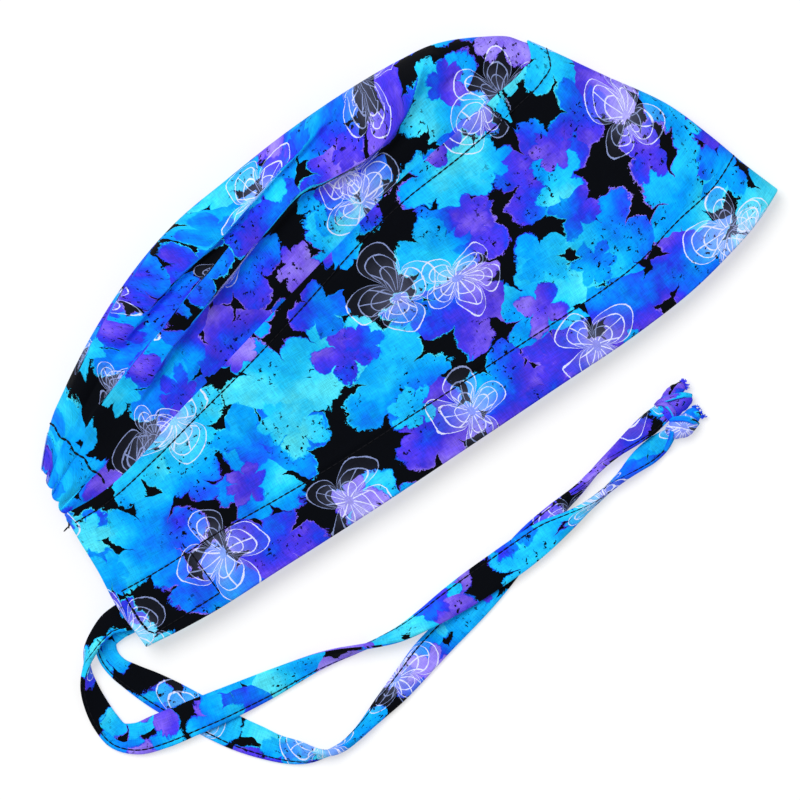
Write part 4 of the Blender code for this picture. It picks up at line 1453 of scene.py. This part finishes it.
def frayed(name, start, end, heading, low, count, seed, materials):
    """Loose threads along a cut edge, each a thin tube that wanders a little."""
    chance = np.random.default_rng(seed)
    bm = bmesh.new()
    for i in range(count):
        root = np.array(start) + (np.array(end) - np.array(start)) * (i + 0.5) / count
        way_out = heading + chance.uniform(-FRAY_SPREAD, FRAY_SPREAD)
        reach = chance.uniform(*FRAY_REACH)
        rings = []
        for out in np.linspace(0, 1, FRAY_RINGS):
            bend = way_out + chance.uniform(-FRAY_BEND, FRAY_BEND) * out
            spot = root + reach * out * np.array([math.cos(bend), math.sin(bend)])
            height = low + chance.uniform(*FRAY_LIFT) * out
            place = Matrix.Translation((spot[0] - CENTRE[0], spot[1] - CENTRE[1], height))
            turn = Matrix.Rotation(way_out, 4, "Z") @ Matrix.Rotation(math.pi / 2, 4, "Y")
            radius = FRAY_RADIUS * (1 - FRAY_TAPER * out)
            made = bmesh.ops.create_circle(bm, segments=FRAY_SIDES, radius=radius, matrix=place @ turn)
            ring = set(made["verts"])
            touching = {edge for vert in ring for edge in vert.link_edges}
            rings.append([edge for edge in touching if set(edge.verts) <= ring])
        for first, second in zip(rings, rings[1:]):
            bmesh.ops.bridge_loops(bm, edges=first + second)
        bmesh.ops.edgeloop_fill(bm, edges=rings[0])
        bmesh.ops.edgeloop_fill(bm, edges=rings[-1])
    bmesh.ops.recalc_face_normals(bm, faces=bm.faces)
    lay_flat(bm)
    return add_piece(name, mesh_of(bm, name), materials)


# %% The knot of the lower tie
LOWER = [LOWER_TIE_COTTON]
WRAP_WIDTH, WRAP_THICKNESS = 0.0030, 0.0011
WRAP_ROW = 0.0005


def wrap(name, route, materials):
    """A narrow band of the tie that passes over a knot."""
    return strip(name, tie_frames(np.array(route), WRAP_ROW, WRAP_WIDTH, WRAP_THICKNESS), 1, materials)


lower_lobe = lobe("knot_lower_lobe", [
    (0.2200, -0.0440), (0.2215, -0.0420), (0.2240, -0.0417), (0.2263, -0.0426), (0.2290, -0.0432),
    (0.2318, -0.0438), (0.2338, -0.0446), (0.2350, -0.0460), (0.2349, -0.0475), (0.2340, -0.0486),
    (0.2320, -0.0491), (0.2285, -0.0494), (0.2250, -0.0495), (0.2218, -0.0492), (0.2202, -0.0470),
], 0.0004, 0.0052, 3, (0.019, 0.007), LOWER)
lower_tail = lobe("knot_lower_tail", [
    (0.2222, -0.0421), (0.2236, -0.0404), (0.2255, -0.0395), (0.2278, -0.0386), (0.2300, -0.0383),
    (0.2326, -0.0387), (0.2350, -0.0391), (0.2354, -0.0408), (0.2349, -0.0425), (0.2336, -0.0433),
    (0.2318, -0.0430), (0.2295, -0.0424), (0.2260, -0.0424),
], 0.0014, 0.0042, 2, (0.040, 0.013), LOWER)
lower_wrap = wrap("knot_lower_wrap", [
    (0.2216, -0.0411, 0.0012, 0.62, 0), (0.2236, -0.0409, 0.0040, 0.74, 0),
    (0.2266, -0.0416, 0.0052, 0.80, 0), (0.2300, -0.0428, 0.0054, 0.80, 0),
    (0.2330, -0.0444, 0.0046, 0.74, 0), (0.2349, -0.0462, 0.0022, 0.62, 0),
], LOWER)
lower_wrap_across = wrap("knot_lower_wrap_across", [
    (0.2226, -0.0411, 0.0034, 0.60, 0), (0.2241, -0.0422, 0.0050, 0.70, 0),
    (0.2251, -0.0442, 0.0057, 0.76, 0), (0.2254, -0.0464, 0.0056, 0.76, 0),
    (0.2250, -0.0485, 0.0042, 0.70, 0), (0.2243, -0.0499, 0.0014, 0.60, 0),
], LOWER)
lower_fray = frayed("knot_lower_fray", (0.2346, -0.0388), (0.2346, -0.0430), -0.12, 0.0030, 22, 3, LOWER)
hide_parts("knot_lower")

# %% The knot of the upper tie
UPPER = [UPPER_TIE_COTTON]
upper_lobe = lobe("knot_upper_lobe", [
    (0.2178, -0.0530), (0.2186, -0.0510), (0.2208, -0.0501), (0.2234, -0.0498), (0.2262, -0.0498),
    (0.2292, -0.0508), (0.2305, -0.0530), (0.2311, -0.0549), (0.2306, -0.0572), (0.2280, -0.0583),
    (0.2252, -0.0588), (0.2222, -0.0578), (0.2192, -0.0561),
], 0.0004, 0.0060, 3, (0.015, -0.024), UPPER)
upper_tail = lobe("knot_upper_tail", [
    (0.2262, -0.0506), (0.2290, -0.0501), (0.2314, -0.0500), (0.2332, -0.0507), (0.2338, -0.0525),
    (0.2338, -0.0545), (0.2321, -0.0560), (0.2303, -0.0566), (0.2286, -0.0540),
], 0.0008, 0.0036, 4, (0.033, 0.021), UPPER)
upper_wrap = wrap("knot_upper_wrap", [
    (0.2226, -0.0494, 0.0024, 0.62, 0), (0.2246, -0.0502, 0.0052, 0.72, 0),
    (0.2272, -0.0518, 0.0062, 0.78, 0), (0.2288, -0.0538, 0.0056, 0.78, 0),
    (0.2299, -0.0556, 0.0040, 0.74, 0), (0.2303, -0.0569, 0.0016, 0.66, 0),
], UPPER)
upper_wrap_end = wrap("knot_upper_wrap_end", [
    (0.2204, -0.0532, 0.0050, 0.58, 0), (0.2190, -0.0546, 0.0042, 0.62, 0),
    (0.2168, -0.0562, 0.0026, 0.60, 0), (0.2140, -0.0579, 0.0008, 0.52, 0),
], UPPER)
upper_fray = frayed("knot_upper_fray", (0.2326, -0.0500), (0.2330, -0.0562), -0.10, 0.0022, 30, 8, UPPER)
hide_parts("knot_upper")

# %% [markdown]


# %% [markdown]
# ## Light and table
#
# The picture is a plain product picture on a lit white table, with light from all round and one wide lamp
# at the upper left. The lamp draws short soft shadows to the lower right and models the folds. The glow of
# the table keeps its own shadows pale.

# %% Table, lamp and sky
TABLE_SIZE = 3.0
TABLE_DROP = 0.0002
TABLE_WHITE = 0.46
TABLE_GLOW = 0.52
TABLE_ROUGHNESS = 0.9
LAMP_HEADING = (-0.159, 0.987)
LAMP_HEIGHT = math.radians(60)
LAMP_SPREAD = math.radians(38)
LAMP_STRENGTH = 2.35
SKY = 0.48

bm = bmesh.new()
below = Matrix.Translation((0, 0, -TABLE_DROP))
bmesh.ops.create_grid(bm, x_segments=1, y_segments=1, size=TABLE_SIZE / 2, matrix=below)
mesh = mesh_of(bm, "table")
table = bpy.data.objects.new("table", mesh)
bpy.context.scene.collection.objects.link(table)
white = bpy.data.materials.new("lit white table")
white.use_nodes = True
shader = white.node_tree.nodes["Principled BSDF"]
shader.inputs["Base Color"].default_value = (TABLE_WHITE, TABLE_WHITE, TABLE_WHITE, 1)
shader.inputs["Roughness"].default_value = TABLE_ROUGHNESS
shader.inputs["Specular IOR Level"].default_value = 0.0
shader.inputs["Emission Color"].default_value = (1, 1, 1, 1)
shader.inputs["Emission Strength"].default_value = TABLE_GLOW
mesh.materials.append(white)

lamp = bpy.data.objects.new("wide_lamp", bpy.data.lights.new("wide_lamp", "SUN"))
lamp.data.energy = LAMP_STRENGTH
lamp.data.angle = LAMP_SPREAD
towards = Vector((*LAMP_HEADING, math.tan(LAMP_HEIGHT)))
lamp.rotation_euler = towards.to_track_quat("Z", "Y").to_euler()
bpy.context.scene.collection.objects.link(lamp)

world = bpy.data.worlds.new("soft sky")
world.use_nodes = True
world.node_tree.nodes["Background"].inputs["Color"].default_value = (1, 1, 1, 1)
world.node_tree.nodes["Background"].inputs["Strength"].default_value = SKY
bpy.context.scene.world = world
bpy.context.scene.view_settings.view_transform = "Standard"
